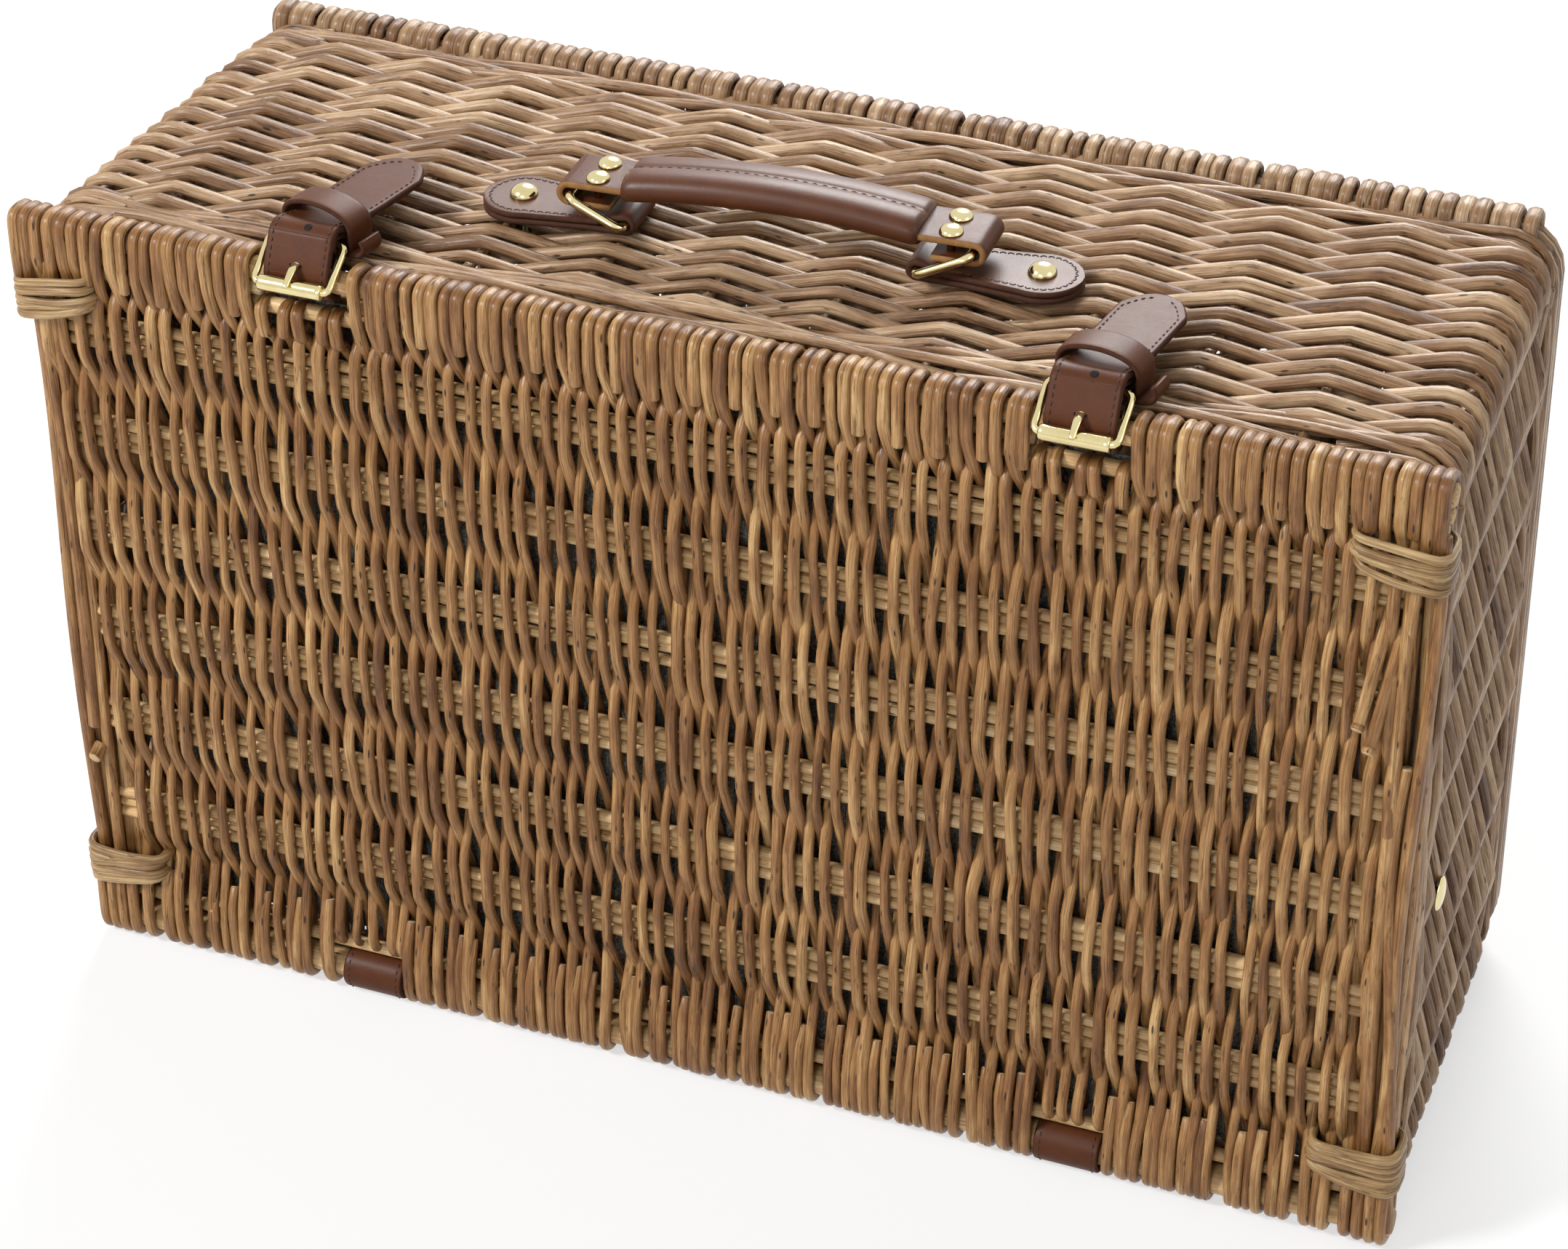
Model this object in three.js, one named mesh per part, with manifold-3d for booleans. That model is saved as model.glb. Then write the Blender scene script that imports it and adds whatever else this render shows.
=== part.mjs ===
// A willow picnic hamper, standing on its back wall with the buckled lid towards -Y.
// Millimetres, +Z up. Inside this file Y = 0 is the lid's front face and Z = 0 is the table;
// the last lines move the whole basket so that its origin is under the middle of its box.

import * as THREE from 'three';
import { mergeVertices } from 'three/addons/utils/BufferGeometryUtils.js';
import Module from 'manifold-3d';

const wasm = await Module();
wasm.setup();

// Driving dimensions of the closed basket
const WIDTH = 500;              // across the lid and across the mouth
const HEIGHT = 309;             // table to the top of the lid
const DEPTH = 188;              // lid front to the back of the base
const SEAM = 0.35;              // clearance between pieces that lie against each other

// Woven body
const WALL = 10;                // thickness of a woven wall
const WALL_DROP = 2;            // the body's top lies this far below the lid's top
const CORNER_R = 18;            // outside radius of the rounded corners
const TAPER = 6;                // each side wall leans in by this much towards the base
const MOUTH_ROD_R = 4.5;        // rods along the mouth, between the corners
const BASE_HOOP_R = 5.5;        // rod round the base
const HOOP_INSET = 0.5;         // hoop and mouth rods lie this far inside the walls' outside
const BASE_RISE = 2.5;          // the base's hoop stands this far above the body's top
const BASE_PANEL_T = 9;         // woven base, at its pairs of sticks
const BASE_FURROW = 2.75;       // depth of each face's furrow between two pairs
const BULGE_HALF_H = 7;         // half the height of the bulge over a pair
const WEAVE_PITCH = 10.5;       // from one row of wall rods to the next
const WEAVE_FURROW = 3;         // depth of the furrow between two rows

// Lid frame
const LID_T = 16;               // depth of the lid's wrapped borders
const BORDER_H = 20;            // height of the top and bottom borders
const TOP_ROD_R = 4;            // rod inside the top border, held by the straps
const HINGE_ROD_R = 5.4;        // rod inside the bottom border, held by the hinge leathers
const HINGE_Z = 8.7;            // height of the hinge rod above the table
const PANEL_T = 10;             // woven lid panel
const LINING_T = 2;             // cloth behind the lid panel
const LINING_MARGIN = 3;        // the cloth stops this far short of the corner bindings
const SIDE_RODS = 3;            // rods seen in each side bundle
const SIDE_ROD_R = 2.7;
const SIDE_ROD_PITCH = 4.1;
const SIDE_ROD_LAYER = 2.6;     // half the distance between the front and back layers
const STICK_ROWS = 6;
const STICKS_ABOVE_EDGE = 39.95; // lowest pair, above the panel's bottom edge
const STICKS_BELOW_EDGE = 24.65; // highest pair, below the panel's top edge
const STICK_R = 2.75;
const STICK_PITCH = 5.3;        // between the two sticks of a pair
const BINDING_TOP_TURNS = 4;    // split-willow bindings at the lid's corners
const BINDING_BOTTOM_TURNS = 5;
const BINDING_TURN_H = 4;       // width of the split willow
const BINDING_T = 2.1;
const BINDING_GROOVE = 0.7;     // depth of the furrow between two turns
const BINDING_REACH = 28;       // from the lid's edge to the binding's inner run

// Leather hinges
const HINGE_X = 135;            // from the middle to each hinge
const HINGE_W = 24;
const HINGE_LEATHER_T = 2.65;
const HINGE_TAIL_T = 2.4;
const HINGE_TAIL_END = 46;      // the tail ends this far behind the lid's front
const NOTCH_PLAY = 1.4;         // free space on each side of a leather in its notch

// Straps and buckles
const STRAP_X = { left: -141, right: 132 };
const STRAP_LEAN_DEG = { left: 12, right: 7.5 };   // the free ends lie a little askew
const STRAP_W = 24;
const STRAP_T = 2.6;
const STRAP_END_Y = 68;         // tip of the strap, behind the lid's front
const STRAP_TIP_W = 13;         // width across the blunt tip
const STRAP_TIP_L = 11;         // length of the tapered tip
const STRAP_HOLE_R = 1.7;       // spare hole
const STRAP_NOTCH_DEPTH = 17.5; // depth of the slot in the lid's top border
const HEEL_Y = 12.3;            // heel bar of the buckle
const HEEL_LIFT = 5.6;          // above the body's top wall
const BUCKLE_L = 18;            // heel bar to roller
const BUCKLE_TILT_DEG = 36;     // the frame slopes down over the lid's edge
const WIRE_R = 1.25;
const FRAME_PLAY = 0.6;         // between the strap's edge and the frame
const FRAME_CORNER_R = 2;
const ROLLER_R = 2.7;
const ROLLER_L = 23.4;
const PRONG_W = 3.4;
const PRONG_T = 1.8;
const PRONG_EYE_R = 3.1;
const PRONG_OVERRUN = 1.6;      // the tip reaches this far past the roller's axis
const CHAPE_W = 23;
const CHAPE_EYE_R = 3.3;
const CHAPE_TAIL_T = 4.2;       // two layers of leather
const CHAPE_END_Y = 33;
const CHAPE_SLOT_W = 4.8;       // slot for the prong's eye
const KEEPER_Y = 23;            // middle of the keeper
const KEEPER_L = 12;
const KEEPER_T = 1.75;
const KEEPER_HALF_W = 13.9;     // middle of the leather
const KEEPER_SIDE_H = 7.8;      // straight part of the keeper's sides
const KEEPER_CROWN = 6;         // rise of its arch

// Carrying handle
const HANDLE_X = 3;
const HANDLE_Y = 72.5;
const HANDLE_TURN_DEG = 2.9;    // the handle is not quite square to the edge
const TAB_RIVET_X = 91;         // from the handle's middle
const TAB_END_R = 14;
const TAB_NECK_W = 21;
const TAB_T = 4.4;
const CURL_X = 51;              // axis of the leather curl that holds the ring
const CURL_R = 3.9;
const RING_L = 21;              // between the ring's two bars
const RING_HALF_W = 13.6;
const RING_WIRE_R = 1.5;
const RING_CORNER_R = 3;
const RING_REST_DEG = 26;       // the rings lean out while the handle lies down
const LOOP_T = 2.4;             // leather of the handle strap
const LOOP_GAP = 4.2;           // clear height inside the end loops
const LOOP_FOLD_X = 70.5;
const LOOP_TUCK_X = 56;         // the folded end reaches back to here
const LOOP_W = 22;
const LOOP_RIVET_X = 61.5;
const LOOP_RIVET_Y = 5.5;
const GRIP_HALF_L = 51;
const GRIP_RISE = 4;
const GRIP_HALF_W = 13;
const GRIP_HALF_T = 5;
const RIVET_PLAY = 0.35;
const LOOP_RIVET = { shank: 1.5, head: 3.7, dome: 1.8, foot: 3, footT: 1 };
const TAB_RIVET = { shank: 1.8, head: 4.9, dome: 3.2, foot: 4, footT: 1.2 };

// Brass studs on the side walls
const STUD_Y = 40;
const STUD_Z = 127;
const STUD = { shank: 2, head: 6, dome: 1.6, foot: 4.5, footT: 1.2 };
const STUD_STANDOFF = 0.6;

// Values that follow from the driving dimensions
const HALF_W = WIDTH / 2;
const WALL_TOP = HEIGHT - WALL_DROP;
const LID_MID_Y = LID_T / 2;
const TOP_ROD_Z = HEIGHT - LID_MID_Y;
const PANEL_FRONT = LID_MID_Y - PANEL_T / 2;
const PANEL_BACK = LID_MID_Y + PANEL_T / 2;
const MOUTH_Y = LID_T + SEAM;
const MOUTH_ROD_Y = MOUTH_Y + MOUTH_ROD_R;
const BASE_HOOP_Y = DEPTH - BASE_HOOP_R;
const WALL_Y0 = MOUTH_ROD_Y + MOUTH_ROD_R + SEAM;
const WALL_Y1 = BASE_HOOP_Y - BASE_HOOP_R - SEAM;
const BORDER_LOW_TOP = HINGE_Z - LID_MID_Y + BORDER_H;
const BORDER_HIGH_BOTTOM = HEIGHT - BORDER_H;
const PANEL_Z0 = BORDER_LOW_TOP + SEAM;
const PANEL_Z1 = BORDER_HIGH_BOTTOM - SEAM;
const SIDE_BUNDLE_W = (SIDE_RODS - 1) * SIDE_ROD_PITCH + 2 * SIDE_ROD_R;
const PANEL_HALF_W = HALF_W - SIDE_BUNDLE_W - SEAM;
const LINING_HALF_W = HALF_W - BINDING_REACH - LINING_MARGIN;
const STICK_FIRST_Z = PANEL_Z0 + STICKS_ABOVE_EDGE;
const STICK_STEP = (PANEL_Z1 - STICKS_BELOW_EDGE - STICK_FIRST_Z) / (STICK_ROWS - 1);
const ROW_HEIGHTS = Array.from({ length: STICK_ROWS }, (_, i) => STICK_FIRST_Z + i * STICK_STEP);
const HEEL_Z = WALL_TOP + HEEL_LIFT;
const TILT = THREE.MathUtils.degToRad(BUCKLE_TILT_DEG);
const ROLLER_Y = HEEL_Y - BUCKLE_L * Math.cos(TILT);
const ROLLER_Z = HEEL_Z - BUCKLE_L * Math.sin(TILT);
const FRAME_HALF_W = STRAP_W / 2 + FRAME_PLAY + WIRE_R;
const RING_REST = THREE.MathUtils.degToRad(RING_REST_DEG);
const CURL_Z = SEAM + CURL_R;
const RING_TOP_X = CURL_X + RING_L * Math.cos(RING_REST);
const RING_TOP_Z = CURL_Z + RING_L * Math.sin(RING_REST);
const LOOP_MID_R = LOOP_GAP / 2 + LOOP_T / 2;
const STRAP_LOOP_R = TOP_ROD_R + SEAM + STRAP_T / 2;

// Finishes
const willow = new THREE.MeshStandardMaterial({ color: 0x9b7448, roughness: 0.55, metalness: 0 });
const peeled = new THREE.MeshStandardMaterial({ color: 0xd9bd92, roughness: 0.5, metalness: 0 });
const splint = new THREE.MeshStandardMaterial({ color: 0xb89a68, roughness: 0.6, metalness: 0 });
const leather = new THREE.MeshStandardMaterial({ color: 0x4f2f23, roughness: 0.45, metalness: 0 });
const brass = new THREE.MeshStandardMaterial({ color: 0xd8c07a, roughness: 0.18, metalness: 1 });
const cloth = new THREE.MeshStandardMaterial({ color: 0x77766c, roughness: 0.9, metalness: 0 });

const basket = new THREE.Group();

function addPiece(name, geometry, material, parent = basket) {
  const mesh = new THREE.Mesh(geometry, material);
  mesh.name = name;
  parent.add(mesh);
  return mesh;
}

// Axis frames: a profile drawn in two axes is extruded along the third
const ALONG_X = new THREE.Matrix4().makeBasis(
  new THREE.Vector3(0, 1, 0), new THREE.Vector3(0, 0, 1), new THREE.Vector3(1, 0, 0));
const ALONG_Y = new THREE.Matrix4().makeBasis(
  new THREE.Vector3(1, 0, 0), new THREE.Vector3(0, 0, 1), new THREE.Vector3(0, -1, 0));
const FINE = 6;
const COARSE = 3;

function prism(shape, depth, divisions = COARSE) {
  return new THREE.ExtrudeGeometry(shape, { depth, bevelEnabled: false, curveSegments: divisions });
}

// A (Y, Z) profile that runs from x0 to x1
function prismX(shape, x0, x1, divisions) {
  return prism(shape, x1 - x0, divisions).applyMatrix4(ALONG_X).translate(x0, 0, 0);
}

// An (X, Z) profile that runs from y0 to y1
function prismY(shape, y0, y1, divisions) {
  return prism(shape, y1 - y0, divisions).applyMatrix4(ALONG_Y).translate(0, y1, 0);
}

// An (X, Y) profile that runs from z0 to z1
function prismZ(shape, z0, z1, divisions) {
  return prism(shape, z1 - z0, divisions).translate(0, 0, z0);
}

function block(x0, x1, y0, y1, z0, z1) {
  return new THREE.BoxGeometry(x1 - x0, y1 - y0, z1 - z0)
    .translate((x0 + x1) / 2, (y0 + y1) / 2, (z0 + z1) / 2);
}

function barX(radius, x0, x1, y, z, sides = 12) {
  return new THREE.CylinderGeometry(radius, radius, x1 - x0, sides)
    .rotateZ(Math.PI / 2).translate((x0 + x1) / 2, y, z);
}

function barZ(radius, z0, z1, x, y, sides = 12) {
  return new THREE.CylinderGeometry(radius, radius, z1 - z0, sides)
    .rotateX(Math.PI / 2).translate(x, y, (z0 + z1) / 2);
}

function polygon(points) {
  return new THREE.Shape(points.map(([u, v]) => new THREE.Vector2(u, v)));
}

function roundedRectangle(u0, u1, v0, v1, r) {
  const outline = new THREE.Shape();
  outline.absarc(u1 - r, v0 + r, r, -Math.PI / 2, 0);
  outline.absarc(u1 - r, v1 - r, r, 0, Math.PI / 2);
  outline.absarc(u0 + r, v1 - r, r, Math.PI / 2, Math.PI);
  outline.absarc(u0 + r, v0 + r, r, Math.PI, 1.5 * Math.PI);
  return outline;
}

// Joins and cuts on closed meshes
function toSolid(geometry) {
  const bare = geometry.clone();
  bare.deleteAttribute('normal');
  bare.deleteAttribute('uv');
  const welded = mergeVertices(bare, 1e-4);
  return new wasm.Manifold(new wasm.Mesh({
    numProp: 3,
    vertProperties: Float32Array.from(welded.attributes.position.array),
    triVerts: Uint32Array.from(welded.index.array),
  }));
}

function toGeometry(solid) {
  const mesh = solid.getMesh();
  const geometry = new THREE.BufferGeometry();
  geometry.setAttribute('position', new THREE.BufferAttribute(Float32Array.from(mesh.vertProperties), 3));
  geometry.setIndex(Array.from(mesh.triVerts));
  geometry.computeVertexNormals();
  return geometry;
}

function cut(geometry, ...tools) {
  return toGeometry(tools.reduce((solid, tool) => solid.subtract(toSolid(tool)), toSolid(geometry)));
}

function join(first, ...others) {
  return toGeometry(others.reduce((solid, other) => solid.add(toSolid(other)), toSolid(first)));
}

function common(first, second) {
  return toGeometry(toSolid(first).intersect(toSolid(second)));
}

// Builds a closed surface from rings of equal length and turns its faces outwards
function skin(rings, closed) {
  const count = rings[0].length;
  const position = rings.flat().flatMap((p) => [p.x, p.y, p.z]);
  const index = [];
  const last = closed ? rings.length : rings.length - 1;
  for (let i = 0; i < last; i++) {
    const a = i * count;
    const b = ((i + 1) % rings.length) * count;
    for (let j = 0; j < count; j++) {
      const k = (j + 1) % count;
      index.push(a + j, b + j, b + k, a + j, b + k, a + k);
    }
  }
  if (!closed) {
    for (let j = 1; j < count - 1; j++) {
      const end = (rings.length - 1) * count;
      index.push(0, j, j + 1, end, end + j + 1, end + j);
    }
  }
  const geometry = new THREE.BufferGeometry();
  geometry.setAttribute('position', new THREE.Float32BufferAttribute(position, 3));
  geometry.setIndex(index);
  if (enclosedVolume(geometry) < 0) {
    for (let t = 0; t < index.length; t += 3) [index[t], index[t + 1]] = [index[t + 1], index[t]];
    geometry.setIndex(index);
  }
  geometry.computeVertexNormals();
  return geometry;
}

function enclosedVolume(geometry) {
  const [a, b, c] = [new THREE.Vector3(), new THREE.Vector3(), new THREE.Vector3()];
  const place = geometry.attributes.position;
  const index = geometry.index.array;
  let volume = 0;
  for (let t = 0; t < index.length; t += 3) {
    a.fromBufferAttribute(place, index[t]);
    b.fromBufferAttribute(place, index[t + 1]);
    c.fromBufferAttribute(place, index[t + 2]);
    volume += a.dot(b.cross(c)) / 6;
  }
  return volume;
}

// Sweeps a section round a closed flat path. The path is in (u, v); the section's first value
// points away from the path's inside and its second along the plane's normal.
function hoop(path, section, toWorld) {
  const rings = path.map((p, i) => {
    const before = path[(i + path.length - 1) % path.length];
    const after = path[(i + 1) % path.length];
    const n0 = new THREE.Vector2(p.y - before.y, before.x - p.x).normalize();
    const n1 = new THREE.Vector2(after.y - p.y, p.x - after.x).normalize();
    const mitre = n0.clone().add(n1).normalize();
    const stretch = 1 / mitre.dot(n0);
    return section.map(([out, across]) => new THREE.Vector3(
      p.x + mitre.x * out * stretch, p.y + mitre.y * out * stretch, across).applyMatrix4(toWorld));
  });
  return skin(rings, true);
}

function circle(radius, sides) {
  return Array.from({ length: sides }, (_, i) => {
    const angle = (2 * Math.PI * i) / sides;
    return [radius * Math.cos(angle), radius * Math.sin(angle)];
  });
}

function outlinePoints(shape, divisions) {
  const points = shape.getPoints(divisions);
  return points.filter((p, i) => p.distanceTo(points[(i + points.length - 1) % points.length]) > 1e-6);
}

// Outline of rods side by side, in one or two layers
function bundle(count, radius, pitch, layer = 0) {
  const outline = new THREE.Shape();
  const half = ((count - 1) * pitch) / 2;
  const beta = Math.asin(Math.min(1, pitch / 2 / radius));
  for (const side of [1, -1]) {
    for (let i = 0; i < count; i++) {
      const first = i === 0 ? Math.PI / 2 : beta;
      const final = i === count - 1 ? Math.PI / 2 : beta;
      const top = (side * Math.PI) / 2;
      outline.absarc(side * (i * pitch - half), side * layer, radius, top + first, top - final, true);
    }
  }
  return outline;
}

// A band of even thickness along points in two axes
function ribbon(points, thickness) {
  const offset = (side) => points.map((p, i) => {
    const before = points[Math.max(0, i - 1)];
    const after = points[Math.min(points.length - 1, i + 1)];
    const run = after.clone().sub(before).normalize();
    return new THREE.Vector2(p.x - run.y * side * thickness / 2, p.y + run.x * side * thickness / 2);
  });
  return new THREE.Shape([...offset(1), ...offset(-1).reverse()]);
}

function arcPoints(cx, cy, r, fromDeg, toDeg, steps) {
  return Array.from({ length: steps + 1 }, (_, i) => {
    const angle = THREE.MathUtils.degToRad(fromDeg + ((toDeg - fromDeg) * i) / steps);
    return new THREE.Vector2(cx + r * Math.cos(angle), cy + r * Math.sin(angle));
  });
}

// A domed head, a shank and a peened foot, along Z with the head's seat at zero
function rivet({ shank, head, dome, foot, footT }, grip, sides = 14) {
  const crown = arcPoints(0, 0, 1, 90, 0, 4).map((p) => new THREE.Vector2(p.x * head, p.y * dome));
  crown[0].x = 0;
  return new THREE.LatheGeometry([
    new THREE.Vector2(0, -grip - footT), new THREE.Vector2(foot, -grip - footT),
    new THREE.Vector2(foot, -grip), new THREE.Vector2(shank, -grip),
    new THREE.Vector2(shank, 0), ...crown.reverse(),
  ], sides).rotateX(Math.PI / 2);
}

function halfWidthAt(y) {
  return HALF_W - (TAPER * (y - LID_T)) / (DEPTH - LID_T);
}

// Body: four walls, four rounded corners, the rods along the mouth, the base and its hoop

const handleFrame = new THREE.Matrix4()
  .makeRotationZ(THREE.MathUtils.degToRad(HANDLE_TURN_DEG))
  .setPosition(HANDLE_X, HANDLE_Y, WALL_TOP);

function wallPlan(clear) {
  return polygon([
    [-halfWidthAt(WALL_Y0) + clear, WALL_Y0], [halfWidthAt(WALL_Y0) - clear, WALL_Y0],
    [halfWidthAt(WALL_Y1) - clear, WALL_Y1], [-halfWidthAt(WALL_Y1) + clear, WALL_Y1]]);
}

// Rows of rods along a wall: pairs of a place behind the lid's front and a depth below the crests
function rodRows() {
  const rows = Math.max(1, Math.round((WALL_Y1 - WALL_Y0) / WEAVE_PITCH));
  const pitch = (WALL_Y1 - WALL_Y0) / rows;
  const across = [[0, 1], [0.16, 0.3], [0.34, 0], [0.66, 0], [0.84, 0.3]];
  const places = Array.from({ length: rows }, (_, i) => across.map(([share, low]) => [
    WALL_Y0 + pitch * (i + share), WEAVE_FURROW * low])).flat();
  return [[WALL_Y0, 0], ...places.slice(2), [WALL_Y1, 0]];
}

function sideWallPlan(side) {
  return polygon([
    [side * (halfWidthAt(WALL_Y0) - WALL), WALL_Y0],
    ...rodRows().map(([y, low]) => [side * (halfWidthAt(y) - low), y]),
    [side * (halfWidthAt(WALL_Y1) - WALL), WALL_Y1]]);
}

// The base bulges over its pairs of sticks and is thin between them
function baseProfile(z0, z1) {
  const bands = [z0 - BULGE_HALF_H, ...ROW_HEIGHTS, z1 + BULGE_HALF_H];
  const heights = bands.flatMap((z, i) => [
    [z - BULGE_HALF_H, 0], [z + BULGE_HALF_H, 0], [(z + (bands[i + 1] ?? z)) / 2, BASE_FURROW]]).slice(1, -2);
  const face = (side) => heights.map(([z, low]) => [
    BASE_HOOP_Y + side * (BASE_PANEL_T / 2 - low), z]);
  return polygon([...face(1), ...face(-1).reverse()]);
}

function cornerPiece(side, upper) {
  const quarter = new THREE.Shape();
  quarter.absarc(0, 0, CORNER_R, 0, Math.PI / 2, false);
  quarter.absarc(0, 0, CORNER_R - WALL, Math.PI / 2, 0, true);
  const piece = prismY(quarter, MOUTH_Y, WALL_Y1, FINE);
  const slope = -TAPER / (DEPTH - LID_T);
  const lean = new THREE.Matrix4().makeShear(0, 0, slope, 0, 0, 0);
  const centreX = HALF_W - CORNER_R - slope * LID_T;
  piece.applyMatrix4(lean).translate(centreX, 0, 0);
  if (!upper) piece.applyMatrix4(new THREE.Matrix4().makeScale(1, 1, -1));
  if (side < 0) piece.applyMatrix4(new THREE.Matrix4().makeScale(-1, 1, 1));
  const index = [...Array(piece.attributes.position.count).keys()];
  piece.setIndex(index);
  if (enclosedVolume(piece) < 0) piece.setIndex(index.reverse());
  return piece.translate(0, 0, upper ? WALL_TOP - CORNER_R : CORNER_R);
}

function baseHoop() {
  const inset = BASE_HOOP_R + HOOP_INSET;
  const reach = halfWidthAt(BASE_HOOP_Y) - inset;
  const path = outlinePoints(roundedRectangle(
    -reach, reach, inset, WALL_TOP + BASE_RISE - BASE_HOOP_R, CORNER_R - inset), COARSE);
  const plane = ALONG_Y.clone().setPosition(0, BASE_HOOP_Y, 0);
  return hoop(path, circle(BASE_HOOP_R, 10), plane);
}

function buildBody() {
  const tabRivets = [-1, 1].map((side) => barZ(TAB_RIVET.shank + RIVET_PLAY, -2 * WALL, WALL,
    side * TAB_RIVET_X, 0).applyMatrix4(handleFrame));
  const broadWall = wallPlan(CORNER_R + SEAM);
  const rows = polygon([
    [WALL_Y0, WALL_TOP - WALL], ...rodRows().map(([y, low]) => [y, WALL_TOP - low]), [WALL_Y1, WALL_TOP - WALL]]);
  const woven = common(prismX(rows, -HALF_W, HALF_W), prismZ(broadWall, 0, HEIGHT));
  addPiece('front_wall', cut(woven, ...tabRivets), willow);
  addPiece('back_wall', prismZ(broadWall, 0, WALL), willow);
  for (const [name, side] of [['left', -1], ['right', 1]]) {
    const edge = side * halfWidthAt(STUD_Y);
    const studHole = barX(STUD.shank + RIVET_PLAY, edge - 2 * WALL, edge + 2 * WALL, STUD_Y, STUD_Z);
    const wall = prismZ(sideWallPlan(side), CORNER_R + SEAM, WALL_TOP - CORNER_R - SEAM);
    addPiece(`${name}_wall`, cut(wall, studHole), willow);
    addPiece(`corner_front_${name}`, cornerPiece(side, true), willow);
    addPiece(`corner_back_${name}`, cornerPiece(side, false), willow);
    const stud = rivet(STUD, WALL + 2 * STUD_STANDOFF).rotateY((side * Math.PI) / 2);
    addPiece(`wall_stud_${name}`, stud.translate(edge + side * STUD_STANDOFF, STUD_Y, STUD_Z), brass);
  }
  const mouthInset = HOOP_INSET + MOUTH_ROD_R;
  const rodReach = halfWidthAt(MOUTH_Y + 2 * MOUTH_ROD_R) - CORNER_R - SEAM;
  const rodX = halfWidthAt(MOUTH_ROD_Y) - mouthInset;
  for (const [name, z] of [['front', WALL_TOP - mouthInset], ['back', mouthInset]]) {
    addPiece(`mouth_rod_${name}`, barX(MOUTH_ROD_R, -rodReach, rodReach, MOUTH_ROD_Y, z), willow);
  }
  for (const [name, side] of [['left', -1], ['right', 1]]) {
    addPiece(`mouth_rod_${name}`, barZ(MOUTH_ROD_R, CORNER_R + SEAM, WALL_TOP - CORNER_R - SEAM,
      side * rodX, MOUTH_ROD_Y), willow);
  }
  addPiece('base_hoop', baseHoop(), willow);
  const inset = HOOP_INSET + 2 * BASE_HOOP_R + SEAM;
  const reach = halfWidthAt(BASE_HOOP_Y) - inset;
  const baseTop = WALL_TOP + BASE_RISE - 2 * BASE_HOOP_R - SEAM;
  const base = roundedRectangle(-reach, reach, inset, baseTop, CORNER_R - inset);
  addPiece('base_panel', common(prismX(baseProfile(inset, baseTop), -HALF_W, HALF_W),
    prismY(base, WALL_Y1, DEPTH)), willow);
}

// Lid: two wrapped borders on their rods, side bundles, stick pairs, panel, lining and bindings

function borderProfile(axisZ, upwards) {
  const outline = new THREE.Shape();
  const flat = upwards ? BORDER_HIGH_BOTTOM : BORDER_LOW_TOP;
  if (upwards) {
    outline.absarc(LID_MID_Y, axisZ, LID_MID_Y, 0, Math.PI);
    outline.lineTo(0, flat);
    outline.lineTo(LID_T, flat);
  } else {
    outline.absarc(LID_MID_Y, axisZ, LID_MID_Y, Math.PI, 2 * Math.PI);
    outline.lineTo(LID_T, flat);
    outline.lineTo(0, flat);
  }
  return outline;
}

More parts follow.
